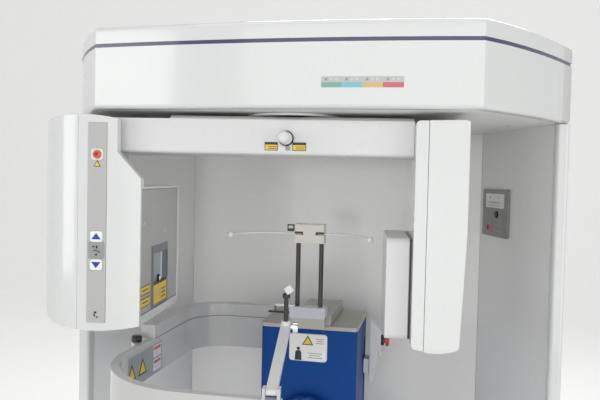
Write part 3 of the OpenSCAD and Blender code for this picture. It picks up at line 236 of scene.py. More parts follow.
# Brushed metals: colour, roughness, and how far the brush lines are drawn out along each axis
metals = {
    "steel": ((0.62, 0.62, 0.61), 0.28, (1, 1, 12)),
    "alu": ((0.66, 0.67, 0.68), 0.36, (1, 1, 8)),
    "chrome": ((0.80, 0.80, 0.81), 0.10, (3, 3, 3)),
}
metalLook = {"lineScale": 60.0, "darker": 0.8, "roughLow": 0.8, "roughHigh": 1.25, "bump": 0.05, "bumpDistance": 0.0003}


def metalFinish(name, colour, rough, stretch):
    mat, tree, shader = newMaterial(name)
    lines = addNoise(tree, objectCoords(tree, stretch), metalLook["lineScale"], 6.0, 0.65)
    dark = (*[c * metalLook["darker"] for c in colour], 1)
    brushed = addMix(tree, addRange(tree, lines, 0.0, 1.0), (*colour, 1), dark)
    tree.links.new(brushed, shader.inputs["Base Color"])
    uneven = addRange(tree, lines, rough * metalLook["roughLow"], rough * metalLook["roughHigh"])
    tree.links.new(uneven, shader.inputs["Roughness"])
    shader.inputs["Metallic"].default_value = 1.0
    bumpFrom(tree, shader, lines, metalLook["bump"], metalLook["bumpDistance"])
    return mat


vinylLook = {
    "colour": (0.008, 0.050, 0.26), "shade": (0.006, 0.040, 0.21), "pores": 420.0, "patches": 9.0,
    "roughLow": 0.34, "roughHigh": 0.44, "bump": 0.35, "bumpDistance": 0.0004, "gleam": 0.25,
}


def vinylFinish():
    mat, tree, shader = newMaterial("vinyl")
    coords = objectCoords(tree)
    cells = tree.nodes.new("ShaderNodeTexVoronoi")
    cells.inputs["Scale"].default_value = vinylLook["pores"]
    tree.links.new(coords, cells.inputs["Vector"])
    broad = addNoise(tree, coords, vinylLook["patches"], 4.0)
    colour = addMix(tree, addRange(tree, broad, 0.0, 1.0), (*vinylLook["colour"], 1), (*vinylLook["shade"], 1))
    tree.links.new(colour, shader.inputs["Base Color"])
    uneven = addRange(tree, broad, vinylLook["roughLow"], vinylLook["roughHigh"])
    tree.links.new(uneven, shader.inputs["Roughness"])
    bumpFrom(tree, shader, cells.outputs["Distance"], vinylLook["bump"], vinylLook["bumpDistance"])
    shader.inputs["Specular IOR Level"].default_value = vinylLook["gleam"]
    return mat


# The lamp's plate is white and its lens red with a darker middle: the distance from the lens's axis decides
lampLook = {
    "axisU": -0.400, "axisZ": 1.557, "middleEdge": (0.0038, 0.0044), "lensEdge": (0.0092, 0.0096), "ribs": 260.0,
    "red": (0.74, 0.13, 0.035), "deepRed": (0.60, 0.08, 0.02), "middle": (0.20, 0.03, 0.02),
    "plate": (0.74, 0.76, 0.755), "rough": (0.12, 0.2), "coat": 0.6,
}


def lampFinish():
    mat, tree, shader = newMaterial("lampRed")
    coords = objectCoords(tree)
    across = tree.nodes.new("ShaderNodeVectorMath")
    across.operation = "DOT_PRODUCT"
    across.inputs[1].default_value = (math.cos(parkAngle), math.sin(parkAngle), 0)
    tree.links.new(coords, across.inputs[0])
    flat = tree.nodes.new("ShaderNodeCombineXYZ")
    fromAxisU = addMath(tree, "SUBTRACT", across.outputs["Value"], lampLook["axisU"])
    fromAxisZ = addMath(tree, "SUBTRACT", addSplit(tree, coords)["Z"], lampLook["axisZ"])
    tree.links.new(fromAxisU, flat.inputs["X"])
    tree.links.new(fromAxisZ, flat.inputs["Y"])
    length = tree.nodes.new("ShaderNodeVectorMath")
    length.operation = "LENGTH"
    tree.links.new(flat.outputs[0], length.inputs[0])
    reach = length.outputs["Value"]
    ribs = addNoise(tree, coords, lampLook["ribs"], 2.0)
    lens = addMix(tree, addRange(tree, ribs, 0.0, 1.0), (*lampLook["red"], 1), (*lampLook["deepRed"], 1))
    inMiddle = addRange(tree, reach, 1.0, 0.0, *lampLook["middleEdge"])
    lens = addMix(tree, inMiddle, lens, (*lampLook["middle"], 1))
    outside = addRange(tree, reach, 0.0, 1.0, *lampLook["lensEdge"])
    tree.links.new(addMix(tree, outside, lens, (*lampLook["plate"], 1)), shader.inputs["Base Color"])
    tree.links.new(addRange(tree, ribs, *lampLook["rough"]), shader.inputs["Roughness"])
    shader.inputs["Coat Weight"].default_value = lampLook["coat"]
    return mat


# The carriage's plate is one material painted in two tones of light: faces that point up get a painted lit white, the
# others a painted shaded lavender; below it the block is as grey as the rail
carriageLook = {
    "block": (0.42, 0.415, 0.37), "blockShade": (0.38, 0.375, 0.34), "rough": 0.34,
    # front is the plate's painted shaded colour; the colour for faces that point up is its painted lit colour
    "front": (0.52, 0.53, 0.60), "top": (0.72, 0.72, 0.70), "plateFrom": (1.1590, 1.1600), "topFrom": (0.6, 0.8),
}


def carriageFinish():
    mat, tree, shader = newMaterial("carriage")
    height = addSplit(tree, objectCoords(tree))["Z"]
    shape = tree.nodes.new("ShaderNodeNewGeometry")
    facing = addSplit(tree, shape.outputs["Normal"])["Z"]
    drift = addDrift(tree, carriageLook["block"], carriageLook["blockShade"], carriageLook["rough"])
    onPlate = addRange(tree, height, 0.0, 1.0, *carriageLook["plateFrom"])
    colour = addMix(tree, onPlate, drift.outputs["Colour"], (*carriageLook["front"], 1))
    # Painted light: faces that point up take the plate's painted lit colour
    onLitTop = addRange(tree, facing, 0.0, 1.0, *carriageLook["topFrom"])
    colour = addMix(tree, onLitTop, colour, (*carriageLook["top"], 1))
    tree.links.new(colour, shader.inputs["Base Color"])
    tree.links.new(drift.outputs["Roughness"], shader.inputs["Roughness"])
    return mat


print("stage: finishes")
mats = {name: plainFinish(name, values) for name, values in finishes.items()}
mats.update({name: metalFinish(name, *values) for name, values in metals.items()})
mats["vinyl"] = vinylFinish()
mats["lamp"] = lampFinish()
mats["carriage"] = carriageFinish()

nodeFinish = {
    "floor_base": "basePaint", "levelling_feet": "rubber", "back_wall": "panelGrey", "wing_panels": "wingGrey",
    "edge_trims": "glossWhite", "outer_shell": "glossWhite", "head_shell": "glossWhite", "accent_band": "bandBlue",
    "head_cap": "glossWhite", "underside_pan": "panGrey", "hub_ring": "satinWhite", "main_frame": "framePaint",
    "bearing_ring": "steel", "drive_motor": "framePaint", "drive_belt": "rubber", "wall_plate": "plateGrey",
    "lift_mast": "alu", "actuator_tube": "framePaint", "motor_pulley": "alu", "wall_button": "black",
    "hub_shaft": "steel", "gantry_frame": "framePaint", "beam_cover": "satinWhite", "beam_lid": "satinWhite",
    "tube_cover": "glossWhite", "tube_side_cover": "glossWhite", "control_strip": "controlGrey",
    "signal_lamp": "lamp", "inner_panel": "darkPanel", "ray_window": "slateBlue", "tube_tank": "framePaint",
    "detector_cover": "glossWhite", "detector_edge": "glossWhite", "sensor_cover": "satinWhite",
    "flat_panel": "black", "up_button": "satinWhite", "down_button": "satinWhite", "laser_knob": "satinWhite",
    "column_shell": "deepBlue", "column_cap": "capGrey", "rail_housing": "capGrey", "side_bracket": "satinWhite",
    "ring_arm": "ringPaint", "seat_bracket": "framePaint", "seat_pad": "vinyl", "back_pad": "vinyl",
    "actuator_rod": "steel", "stop_button": "red", "gate_arm": "ringPaint", "hinge_cap": "glossBlack",
    "stop_base": "black", "chin_arm": "satinWhite", "chin_rod": "black", "clamp_knob": "chrome",
    "head_carriage": "carriage", "slide_lever": "satinWhite", "head_rods": "rodBrown", "head_block": "cream",
    "temple_left": "armGrey", "temple_right": "armGrey",
}


# Mesh tools
def setMaterial(obj, mat):
    obj.data.materials.clear()
    obj.data.materials.append(mat)


softEdge = {"weld": 0.00002, "flat": 0.6, "segments": 3, "angle": 30}


def softenEdges(obj, width):
    obj.modifiers.new("weld", "WELD").merge_threshold = softEdge["weld"]
    flat = obj.modifiers.new("flat", "DECIMATE")
    flat.decimate_type = "DISSOLVE"
    flat.angle_limit = math.radians(softEdge["flat"])
    bevel = obj.modifiers.new("bevel", "BEVEL")
    bevel.width = width
    bevel.segments = softEdge["segments"]
    bevel.limit_method = "ANGLE"
    bevel.angle_limit = math.radians(softEdge["angle"])
    bevel.harden_normals = False
    obj.modifiers.new("normals", "WEIGHTED_NORMAL").keep_sharp = False


def splitEdges(obj, angle):  # in degrees
    obj.modifiers.new("split", "EDGE_SPLIT").split_angle = math.radians(angle)


def smoothFaces(mesh):
    for face in mesh.polygons:
        face.use_smooth = True


def linkObject(name, data):
    obj = bpy.data.objects.new(name, data)
    bpy.context.scene.collection.objects.link(obj)
    return obj


def newObject(name, verts, faces, mat, body, slotName, smooth=True):
    mesh = bpy.data.meshes.new(name)
    mesh.from_pydata([tuple(v) for v in verts], [], faces)
    mesh.update()
    obj = linkObject(name, mesh)
    if smooth:
        smoothFaces(mesh)
    setMaterial(obj, mat)
    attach(obj, body)
    return obj


plateEdge = 0.0003  # bevel of a plate that stands proud enough to show one
plateSink = 0.0003  # how far a plate reaches into what carries it


# A thin solid of any outline, lying on a surface: place maps its own x, y and outward z
def plateOf(name, outline, thick, place, mat, body, slotName, edge=plateEdge, sink=plateSink):
    count = len(outline)
    low = [place @ Vector((x, y, -sink)) for x, y in outline]
    high = [place @ Vector((x, y, thick)) for x, y in outline]
    faces = [list(range(count - 1, -1, -1)), list(range(count, 2 * count))]
    faces += [[i, (i + 1) % count, count + (i + 1) % count, count + i] for i in range(count)]
    obj = newObject(name, low + high, faces, mat, body, slotName, smooth=False)
    if edge > 0:
        bevel = obj.modifiers.new("bevel", "BEVEL")
        bevel.width = edge
        bevel.segments = 2
        bevel.limit_method = "ANGLE"


def roundedRect(w, h, r, steps=5, at=(0, 0)):
    x, y = w / 2 - r, h / 2 - r
    points = []
    for cx, cy, start in ((x, y, 0), (-x, y, 90), (-x, -y, 180), (x, -y, 270)):
        for i in range(steps + 1):
            a = math.radians(start + 90 * i / steps)
            points.append((at[0] + cx + r * math.cos(a), at[1] + cy + r * math.sin(a)))
    return points


def circlePoints(r, steps):
    turns = [2 * math.pi * i / steps for i in range(steps)]
    return [(r * math.cos(a), r * math.sin(a)) for a in turns]


# A flat label: size is its width and height, home is the body that it belongs to and a slot name
def label(name, place, size, tone, home, thick=0.0006, corner=0.001, steps=3, shift=(0, 0), edge=0):
    plateOf(name, roundedRect(*size, corner, steps, shift), thick, place, mats[tone], *home, edge=edge)


def placeOn(origin, xDir, yDir):
    x = Vector(xDir).normalized()
    z = x.cross(Vector(yDir)).normalized()
    y = z.cross(x)
    rows = Matrix((x, y, z)).transposed().to_4x4()
    return Matrix.Translation(Vector(origin)) @ rows


# A turned piece: profile points (radius, height) swept about the local z axis
def turned(name, profile, place, mat, body, slotName, steps=40):
    verts, faces = [], []
    for r, z in profile:
        r = max(r, 1e-5)
        for i in range(steps):
            a = 2 * math.pi * i / steps
            verts.append(place @ Vector((r * math.cos(a), r * math.sin(a), z)))
    for k in range(len(profile) - 1):
        for i in range(steps):
            j = (i + 1) % steps
            faces.append([k * steps + i, k * steps + j, (k + 1) * steps + j, (k + 1) * steps + i])
    faces.append(list(range(steps - 1, -1, -1)))
    faces.append([(len(profile) - 1) * steps + i for i in range(steps)])
    splitEdges(newObject(name, verts, faces, mat, body, slotName), 40)


# A bare yellow triangle with a black edge
triangleLook = {"field": 0.72, "edgeThick": 0.0005, "fieldThick": 0.0008, "edge": 0.0002}


def bareTriangle(name, side, place, home):
    h = side * math.sqrt(3) / 2
    outline = [(-side / 2, -h / 3), (side / 2, -h / 3), (0, 2 * h / 3)]
    inner = [(x * triangleLook["field"], y * triangleLook["field"]) for x, y in outline]
    plateOf(name + "Edge", outline, triangleLook["edgeThick"], place, mats["black"], *home,
            edge=triangleLook["edge"])
    plateOf(name + "Field", inner, triangleLook["fieldThick"], place, mats["yellow"], *home, edge=0)


print("stage: CAD nodes")
# How wide each CAD node's edges are rounded
softWidth = {
    "head_shell": 0.005, "head_cap": 0.006, "outer_shell": 0.0012, "edge_trims": 0.004, "floor_base": 0.005,
    "tube_cover": 0.006, "tube_side_cover": 0.006, "detector_cover": 0.007, "detector_edge": 0.006,
    "sensor_cover": 0.010, "beam_cover": 0.0012, "beam_lid": 0.0015, "column_shell": 0.002, "column_cap": 0.003,
    "rail_housing": 0.002, "ring_arm": 0.0035, "gate_arm": 0.0035, "chin_arm": 0.002, "head_carriage": 0.002,
    "head_block": 0.0015, "side_bracket": 0.0012, "head_rods": 0.0006, "slide_lever": 0.0012,
    "wall_plate": 0.0016, "control_strip": 0.0006, "up_button": 0.0012, "down_button": 0.0012,
    "seat_bracket": 0.002, "main_frame": 0.002, "gantry_frame": 0.002, "lift_mast": 0.0015,
    "wall_button": 0.0008, "hub_ring": 0.002,
}
flatPlates = ("inner_panel", "ray_window")  # plates with holes keep flat faces
for name, finish in nodeFinish.items():
    setMaterial(nodes[name], mats[finish])
    if name in softWidth:
        softenEdges(nodes[name], softWidth[name])
    elif name in flatPlates:
        splitEdges(nodes[name], softEdge["angle"])

print("stage: overhead box")
headFront = {"creaseHalf": 0.405, "creaseY": -0.160, "bulge": 0.0215}
frontRadius = (headFront["creaseHalf"] ** 2 + headFront["bulge"] ** 2) / (2 * headFront["bulge"])


def frontPoint(x, z, out):
    angle = math.asin(x / frontRadius)
    y = headFront["creaseY"] - headFront["bulge"] + frontRadius * (1 - math.cos(angle))
    return Vector((x, y, z)) + Vector((math.sin(angle), -math.cos(angle), 0)) * out


# A label that follows the front's gentle curve
def bentPlate(name, x0, x1, z0, z1, tone, thick=0.0005, sink=0.0004, cuts=12):
    verts, faces = [], []
    for i in range(cuts + 1):
        x = x0 + (x1 - x0) * i / cuts
        verts += [frontPoint(x, z, out) for z, out in ((z0, -sink), (z0, thick), (z1, thick), (z1, -sink))]
    for i in range(cuts):
        for k in range(4):
            a, b = 4 * i + k, 4 * i + (k + 1) % 4
            faces.append([a, b, b + 4, a + 4])
    faces.append([3, 2, 1, 0])
    faces.append([4 * cuts + k for k in range(4)])
    newObject(name, verts, faces, mats[tone], "booth", "white_shell", smooth=False)


statusLabel = {
    "left": 0.093, "right": 0.254, "low": 1.696, "fieldHigh": 1.706, "high": 1.7175,
    "fields": ("fieldTeal", "fieldCyan", "fieldAmber", "fieldRose"),
    "marks": ("keyField", "stripGrey", "stripGrey"), "markFrom": 0.007, "markWidth": 0.005, "markStep": 0.010,
    "markLow": 1.7092, "markHigh": 1.7144, "markThick": 0.0008,
}


def statusPieces(spec):
    bentPlate("statusLabelBack", spec["left"], spec["right"], spec["fieldHigh"], spec["high"], "labelGrey")
    step = (spec["right"] - spec["left"]) / len(spec["fields"])
    for i, field in enumerate(spec["fields"]):
        left = spec["left"] + i * step
        bentPlate("status_" + field, left, left + step, spec["low"], spec["fieldHigh"], field, cuts=4)
        for k, tone in enumerate(spec["marks"]):
            start = left + spec["markFrom"] + k * spec["markStep"]
            bentPlate("statusMark_%d_%d" % (i, k), start, start + spec["markWidth"], spec["markLow"],
                      spec["markHigh"], tone, spec["markThick"], cuts=1)


statusPieces(statusLabel)

# Screws in the underside
panScrew = {
    "z": 1.655,
    "places": ((0.490, 0.243), (0.550, 0.122), (-0.490, 0.243), (-0.550, 0.122), (0.30, 0.50), (-0.30, 0.50)),
    "profile": ((0.0, -0.0002), (0.0045, -0.0002), (0.0042, 0.0010), (0.0030, 0.0018), (0.0, 0.0020)),
}
for k, (x, y) in enumerate(panScrew["places"]):
    at = placeOn((x, y, panScrew["z"]), (1, 0, 0), (0, -1, 0))
    turned("panScrew_%d" % k, panScrew["profile"], at, mats["steel"], "booth", "grey_panel", steps=24)

print("stage: gantry")


def onFront(u, z, v):
    return placeOn(gantryTurn @ Vector((u, v, z)), gantryTurn.to_3x3() @ Vector((1, 0, 0)), (0, 0, 1))


def onInner(v, z, u):
    return placeOn(gantryTurn @ Vector((u, v, z)), gantryTurn.to_3x3() @ Vector((0, 1, 0)), (0, 0, 1))


# Control strip: the two keys, the field between them, and small dark marks (shift right, shift up, width, height)
strip = {
    "u": -0.400, "front": -0.147, "fieldZ": 1.3535, "field": (0.036, 0.036), "fieldCorner": 0.003,
    "triangleZ": 1.5355, "triangle": 0.016, "iconZ": 1.215, "markCorner": 0.0009,
    "iconThick": 0.0006, "markThick": 0.0010,
    "icon": ((-0.001, 0.006, 0.006, 0.004), (-0.003, 0.000, 0.003, 0.006), (0.003, -0.004, 0.004, 0.003)),
    "keyMarks": ((-0.006, 0.008, 0.004, 0.004), (0.001, 0.007, 0.004, 0.006), (-0.002, 0.000, 0.009, 0.002),
                 (0.005, -0.003, 0.006, 0.002), (0.000, -0.009, 0.004, 0.004)),
}
keys = {
    "upZ": 1.383, "downZ": 1.323, "front": -0.1483, "face": (0.0262, 0.0215), "faceCorner": 0.006,
    "faceThick": 0.0003, "arrowHalf": 0.0105, "arrowLow": -0.0060, "arrowHigh": 0.0075, "arrowThick": 0.0006,
}
stripHome = ("gantry", "grey_panel")
label("keyFieldPlate", onFront(strip["u"], strip["fieldZ"], strip["front"]), strip["field"], "keyField",
      stripHome, corner=strip["fieldCorner"], steps=5, edge=plateEdge)
bareTriangle("tubeTriangle", strip["triangle"], onFront(strip["u"], strip["triangleZ"], strip["front"]), stripHome)
for prefix, z, marks, thick in (("stripIcon", strip["iconZ"], strip["icon"], strip["iconThick"]),
                                ("keyMark", strip["fieldZ"], strip["keyMarks"], strip["markThick"])):
    for k, (du, dz, w, h) in enumerate(marks):
        label("%s_%d" % (prefix, k), onFront(strip["u"] + du, z + dz, strip["front"]), (w, h), "black",
              stripHome, thick, strip["markCorner"])
upArrow = [(-keys["arrowHalf"], keys["arrowLow"]), (keys["arrowHalf"], keys["arrowLow"]), (0.0, keys["arrowHigh"])]
downArrow = [(x, -y) for x, y in reversed(upArrow)]
for name, z, arrow, body in (("upArrow", keys["upZ"], upArrow, "up_key"),
                             ("downArrow", keys["downZ"], downArrow, "down_key")):
    keyPlace = onFront(strip["u"], z, keys["front"])
    label(name + "Face", keyPlace, keys["face"], "keyWhite", (body, "white_shell"), thick=keys["faceThick"],
          corner=keys["faceCorner"], steps=5)
    plateOf(name, arrow, keys["arrowThick"], keyPlace, mats["markBlue"], body, "white_shell", edge=0)

# Labels of the beam, beside the positioning light
beamLabel = {
    "front": -0.110, "z": 1.582, "height": 0.018, "rim": 0.003, "left": (-0.0355, 0.028), "right": (0.0240, 0.029),
    "headZ": 1.5874, "headHeight": 0.0042, "lineZ": 1.5772, "lineStep": 0.0040, "lineShift": 0.002,
    "lineShorter": 0.010, "lineHeight": 0.0014, "smallU": 0.0, "smallZ": 1.578, "small": (0.010, 0.009),
    "edgeThick": 0.0005, "fieldThick": 0.0008, "markThick": 0.0010, "markCorner": 0.0004,
}
beamHome = ("gantry", "white_shell")
for name, (u, w) in (("beamLabelLeft", beamLabel["left"]), ("beamLabelRight", beamLabel["right"])):
    middle = onFront(u, beamLabel["z"], beamLabel["front"])
    inner = w - beamLabel["rim"]
    label(name + "Edge", middle, (w, beamLabel["height"]), "black", beamHome, thick=beamLabel["edgeThick"])
    label(name, middle, (inner, beamLabel["height"] - beamLabel["rim"]), "yellow", beamHome,
          thick=beamLabel["fieldThick"])
    label(name + "Head", onFront(u, beamLabel["headZ"], beamLabel["front"]), (inner, beamLabel["headHeight"]),
          "black", beamHome, thick=beamLabel["markThick"], corner=beamLabel["markCorner"], steps=2)
    for k in range(2):
        linePlace = onFront(u + beamLabel["lineShift"], beamLabel["lineZ"] + k * beamLabel["lineStep"],
                            beamLabel["front"])
        lineSize = (w - beamLabel["lineShorter"], beamLabel["lineHeight"])
        label(name + "Line_%d" % k, linePlace, lineSize, "black", beamHome, thick=beamLabel["markThick"],
              corner=beamLabel["markCorner"], steps=2)
label("beamLabelSmall", onFront(beamLabel["smallU"], beamLabel["smallZ"], beamLabel["front"]), beamLabel["small"],
      "keyField", beamHome)

# Black collar of the positioning light
lightCollar = {
    "u": -0.004, "z": 1.599, "front": -0.1105,
    "profile": ((0.0, 0.0), (0.0165, 0.0), (0.0165, 0.003), (0.0145, 0.0055), (0.0, 0.0055)),
}
turned("lightCollar", lightCollar["profile"], onFront(lightCollar["u"], lightCollar["z"], lightCollar["front"]),
       mats["glossBlack"], "positioning_light", "white_shell")

# The tube head's inner side. A row gives a piece's name, front and rear edge, low and high edge, tone and
# thickness; the window's rows share one height, and the heights of the small labels count from their own place
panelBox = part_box("inner_panel")
innerSide = {
    "faceU": -0.309, "windowU": -0.3075, "plateU": -0.306, "faceFrom": -0.1360, "faceTo": 0.1400, "faceRim": 0.0005,
    "faceThick": 0.0003,
    "windowMiddle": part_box("ray_window")[1][2] - 0.049, "windowHalf": 0.031,
    "window": (("windowLeft", -0.046, 0.004, "ringField"), ("windowStrip", 0.004, 0.016, "stripGrey"),
               ("windowRight", 0.016, 0.054, "framePaint")),
    "middleLabel": (("colLabelHead", -0.046, 0.048, 1.2655, 1.2725, "black", 0.0005),
                    ("colLabelBody", -0.046, 0.048, 1.222, 1.2655, "yellow", 0.0005),
                    ("colLabelMark", -0.036, 0.010, 1.238, 1.254, "fieldAmber", 0.0008),
                    ("colLabelLine_0", 0.006, 0.040, 1.230, 1.2325, "black", 0.0008),
                    ("colLabelLine_1", 0.006, 0.040, 1.239, 1.2415, "black", 0.0008),
                    ("colLabelLine_2", 0.006, 0.040, 1.248, 1.2505, "black", 0.0008)),
    "smallLabelsFrom": (1.229, 1.256),
    "smallLabel": (("plateLabelEdge", -0.128, -0.066, -0.002, 0.018, "rodBrown", 0.0005),
                   ("plateLabel", -0.126, -0.068, 0.0, 0.016, "yellow", 0.0008),
                   ("plateLabelLine", -0.118, -0.080, 0.007, 0.0095, "black", 0.0010)),
    "triangle": 0.010, "triangleV": -0.018, "triangleZ": 1.2185,
}
innerHome = ("gantry", "dark_plate")


def innerPlate(name, v0, v1, z0, z1, tone, u, thick=0.0005):
    label(name, onInner((v0 + v1) / 2, (z0 + z1) / 2, u), (v1 - v0, z1 - z0), tone, innerHome, thick)


innerPlate("innerPanelFace", innerSide["faceFrom"], innerSide["faceTo"], panelBox[0][2] + innerSide["faceRim"],
           panelBox[1][2] - innerSide["faceRim"], "darkPanel", innerSide["faceU"], innerSide["faceThick"])
windowLow = innerSide["windowMiddle"] - innerSide["windowHalf"]
windowHigh = innerSide["windowMiddle"] + innerSide["windowHalf"]
for name, v0, v1, tone in innerSide["window"]:
    innerPlate(name, v0, v1, windowLow, windowHigh, tone, innerSide["windowU"])
for name, v0, v1, z0, z1, tone, thick in innerSide["middleLabel"]:
    innerPlate(name, v0, v1, z0, z1, tone, innerSide["plateU"], thick)
bareTriangle("colTriangle", innerSide["triangle"],
             onInner(innerSide["triangleV"], innerSide["triangleZ"], innerSide["plateU"]), innerHome)
for k, low in enumerate(innerSide["smallLabelsFrom"]):
    for name, v0, v1, z0, z1, tone, thick in innerSide["smallLabel"]:
        innerPlate("%s_%d" % (name, k), v0, v1, low + z0, low + z1, tone, innerSide["faceU"], thick)

lens = {
    "v": -0.016, "z": 1.279,
    "ring": ((0.0, 0.0), (0.0085, 0.0), (0.0085, 0.003), (0.0065, 0.004), (0.0, 0.004)),
    "eye": ((0.0, 0.0038), (0.0045, 0.0038), (0.0040, 0.0052), (0.0, 0.0058)),
}
lensPlace = onInner(lens["v"], lens["z"], innerSide["plateU"])
turned("lensRing", lens["ring"], lensPlace, mats["glossBlack"], *innerHome, steps=32)
turned("lensEye", lens["eye"], lensPlace, mats["labelWhite"], *innerHome, steps=24)

print("stage: wall plate")
wall = {
    "wingIn": Vector((0.4525, 0.574, 0)), "wingOut": Vector((0.589, 0.185, 0)), "plateFrom": 0.112, "lift": 0.007,
    "label": (0.120, 0.040), "labelAt": (0.0, 1.463), "labelCorner": 0.004, "fieldCorner": 0.002,
    "dot": 0.0045, "dotsAt": ((0.030, 1.472), (-0.025, 1.472)),
    "lines": ((0.004, 1.450, 0.090, 0.003), (0.004, 1.458, 0.070, 0.003)), "raised": 0.0009,
    "redAt": (0.022, 1.384), "red": (0.030, 0.020), "markAt": (0.042, 1.386), "mark": 0.008, "markThick": 0.0012,
    "icons": ((-0.036, 1.414, 0.020, 0.026), (-0.036, 1.395, 0.034, 0.008), (-0.038, 1.379, 0.036, 0.010)),
}
wingDir = (wall["wingOut"] - wall["wingIn"]).normalized()
wingNormal = Vector((wingDir.y, -wingDir.x, 0))
plateMid = wall["wingIn"] + wingDir * wall["plateFrom"]


def onWing(along, z):
    at = plateMid - wingDir * along + wingNormal * wall["lift"] + Vector((0, 0, z))
    return placeOn(at, -wingDir, (0, 0, 1))


wallHome = ("booth", "dark_plate")
label("wallLabel", onWing(*wall["labelAt"]), wall["label"], "labelWhite", wallHome, corner=wall["labelCorner"],
      steps=5, edge=plateEdge)
for k, at in enumerate(wall["dotsAt"]):
    plateOf("wallLabelDot_%d" % k, circlePoints(wall["dot"], 20), wall["raised"], onWing(*at), mats["keyField"],
            *wallHome, edge=0)
for k, (along, z, w, h) in enumerate(wall["lines"]):
    label("wallLabelLine_%d" % k, onWing(along, z), (w, h), "labelGrey", wallHome, thick=wall["raised"], steps=2)
label("wallFieldRed", onWing(*wall["redAt"]), wall["red"], "fieldRose", wallHome, corner=wall["fieldCorner"],
      edge=plateEdge)
plateOf("wallDot", circlePoints(wall["mark"], 24), wall["markThick"], onWing(*wall["markAt"]), mats["black"],
        *wallHome)
for k, (along, z, w, h) in enumerate(wall["icons"]):
    label("wallIcon_%d" % k, onWing(along, z), (w, h), "keyField", wallHome, corner=wall["fieldCorner"])

print("stage: column")
column = {
    "y": 0.236, "plateZ": 1.0675, "plate": (0.102, 0.073), "plateThick": 0.0025,
    "triangle": 0.030, "triangleAt": (-0.001, 1.083), "iconHead": 0.0042, "headAt": (-0.026, 1.064),
    "bodyAt": (-0.026, 1.050), "iconThick": 0.0006, "cardAt": (0.020, 1.047), "card": (0.050, 0.022),
    "cardThick": 0.0004, "plateCorner": 0.008, "plateEdge": 0.001,
    "lineAt": (0.019, 1.041), "lineStep": 0.006, "line": (0.040, 0.0022), "lineShorter": 0.008,
    "lineThick": 0.0007, "lineCorner": 0.0008,
    "redLineAt": (0.032, 1.080), "redLineStep": 0.0055, "redLine": (0.022, 0.0018), "redLineShorter": 0.005,
    "redLineThick": 0.0005, "redLineCorner": 0.0006,
    "iconBody": ((-0.009, -0.017), (0.009, -0.017), (0.008, 0.004), (0.004, 0.009), (-0.004, 0.009), (-0.008, 0.004)),
}


def onColumn(x, z, out=column["plateThick"]):
    return placeOn((x, column["y"] - out, z), (1, 0, 0), (0, 0, 1))


columnHome = ("chair", "grey_panel")
label("columnPlate", onColumn(0, column["plateZ"], 0), column["plate"], "labelWhite", columnHome,
      thick=column["plateThick"], corner=column["plateCorner"], steps=5, edge=column["plateEdge"])
bareTriangle("columnTriangle", column["triangle"], onColumn(*column["triangleAt"]), columnHome)
for name, outline, at in (("columnIconHead", circlePoints(column["iconHead"], 20), column["headAt"]),
                          ("columnIconBody", column["iconBody"], column["bodyAt"])):
    plateOf(name, outline, column["iconThick"], onColumn(*at), mats["black"], *columnHome, edge=0)
label("columnCard", onColumn(*column["cardAt"]), column["card"], "keyWhite", columnHome,
      thick=column["cardThick"])
for key, name, tone in (("line", "columnLine", "keyField"), ("redLine", "columnRedLine", "fieldRose")):
    (x, z), (w, h) = column[key + "At"], column[key]
    for k in range(3):  # the middle line is shorter
        label("%s_%d" % (name, k), onColumn(x, z + k * column[key + "Step"]),
              (w - column[key + "Shorter"] * (k % 2), h), tone, columnHome,
              thick=column[key + "Thick"], corner=column[key + "Corner"], steps=2)

print("stage: ring")
ringInner = {
    "x": -0.358, "fieldZ": 1.056, "fieldHeight": 0.074, "fieldThick": 0.0002,
    "gateField": (-0.026, 0.148), "ringField": (0.078, 0.056),
    "triangle": 0.046, "triangleZ": 1.050, "triangleFront": -0.064, "triangleRear": -0.006,
    "cardHighZ": 1.074, "cardLowZ": 1.040, "card": (0.044, 0.029), "cardField": (0.038, 0.008),
    "fieldCorner": 0.003, "cardThick": 0.0004, "cardCorner": 0.002, "raised": 0.0007, "lineCorner": 0.0006,
    "cardFieldUp": 0.007, "cardLines": ((0.034, -0.003), (0.026, -0.008)), "cardLineHeight": 0.002,
}


def onRing(y, z):
    return placeOn((ringInner["x"], y, z), (0, 1, 0), (0, 0, 1))


# The label field runs over the gate and ends on the ring itself
gateHome = ("gate", "ring_paint")
ringHome = ("chair", "ring_paint")
for name, (y, width), home in (("gateLabelField", ringInner["gateField"], gateHome),
                               ("ringLabelField", ringInner["ringField"], ringHome)):
    label(name, onRing(y, ringInner["fieldZ"]), (width, ringInner["fieldHeight"]), "ringField", home,
          thick=ringInner["fieldThick"], corner=ringInner["fieldCorner"])
for name, y in (("gateTriangleFront", ringInner["triangleFront"]), ("gateTriangleRear", ringInner["triangleRear"])):
    bareTriangle(name, ringInner["triangle"], onRing(y, ringInner["triangleZ"]), gateHome)
for name, z in (("ringCardHigh", ringInner["cardHighZ"]), ("ringCardLow", ringInner["cardLowZ"])):
    cardPlace = onRing(ringInner["ringField"][0], z)
    label(name, cardPlace, ringInner["card"], "labelWhite", ringHome, thick=ringInner["cardThick"],
          corner=ringInner["cardCorner"])
    label(name + "Field", cardPlace, ringInner["cardField"], "fieldRose", ringHome, thick=ringInner["raised"],
          shift=(0, ringInner["cardFieldUp"]))
    for k, (width, up) in enumerate(ringInner["cardLines"]):
        label(name + "Line_%d" % k, cardPlace, (width, ringInner["cardLineHeight"]), "labelGrey", ringHome,
              thick=ringInner["raised"], corner=ringInner["lineCorner"], steps=2, shift=(0, up))

# Dark strip that the carriage's lever travels along
travelStrip = {"from": -0.095, "to": -0.038, "y": 0.180, "z": 1.1705, "height": 0.005, "thick": 0.008}
stripMid = (travelStrip["from"] + travelStrip["to"]) / 2
label("travelStrip", placeOn((stripMid, travelStrip["y"], travelStrip["z"]), (1, 0, 0), (0, 0, 1)),
      (travelStrip["to"] - travelStrip["from"], travelStrip["height"]), "black", ("head_slide", "black_plastic"),
      thick=travelStrip["thick"], edge=plateEdge)

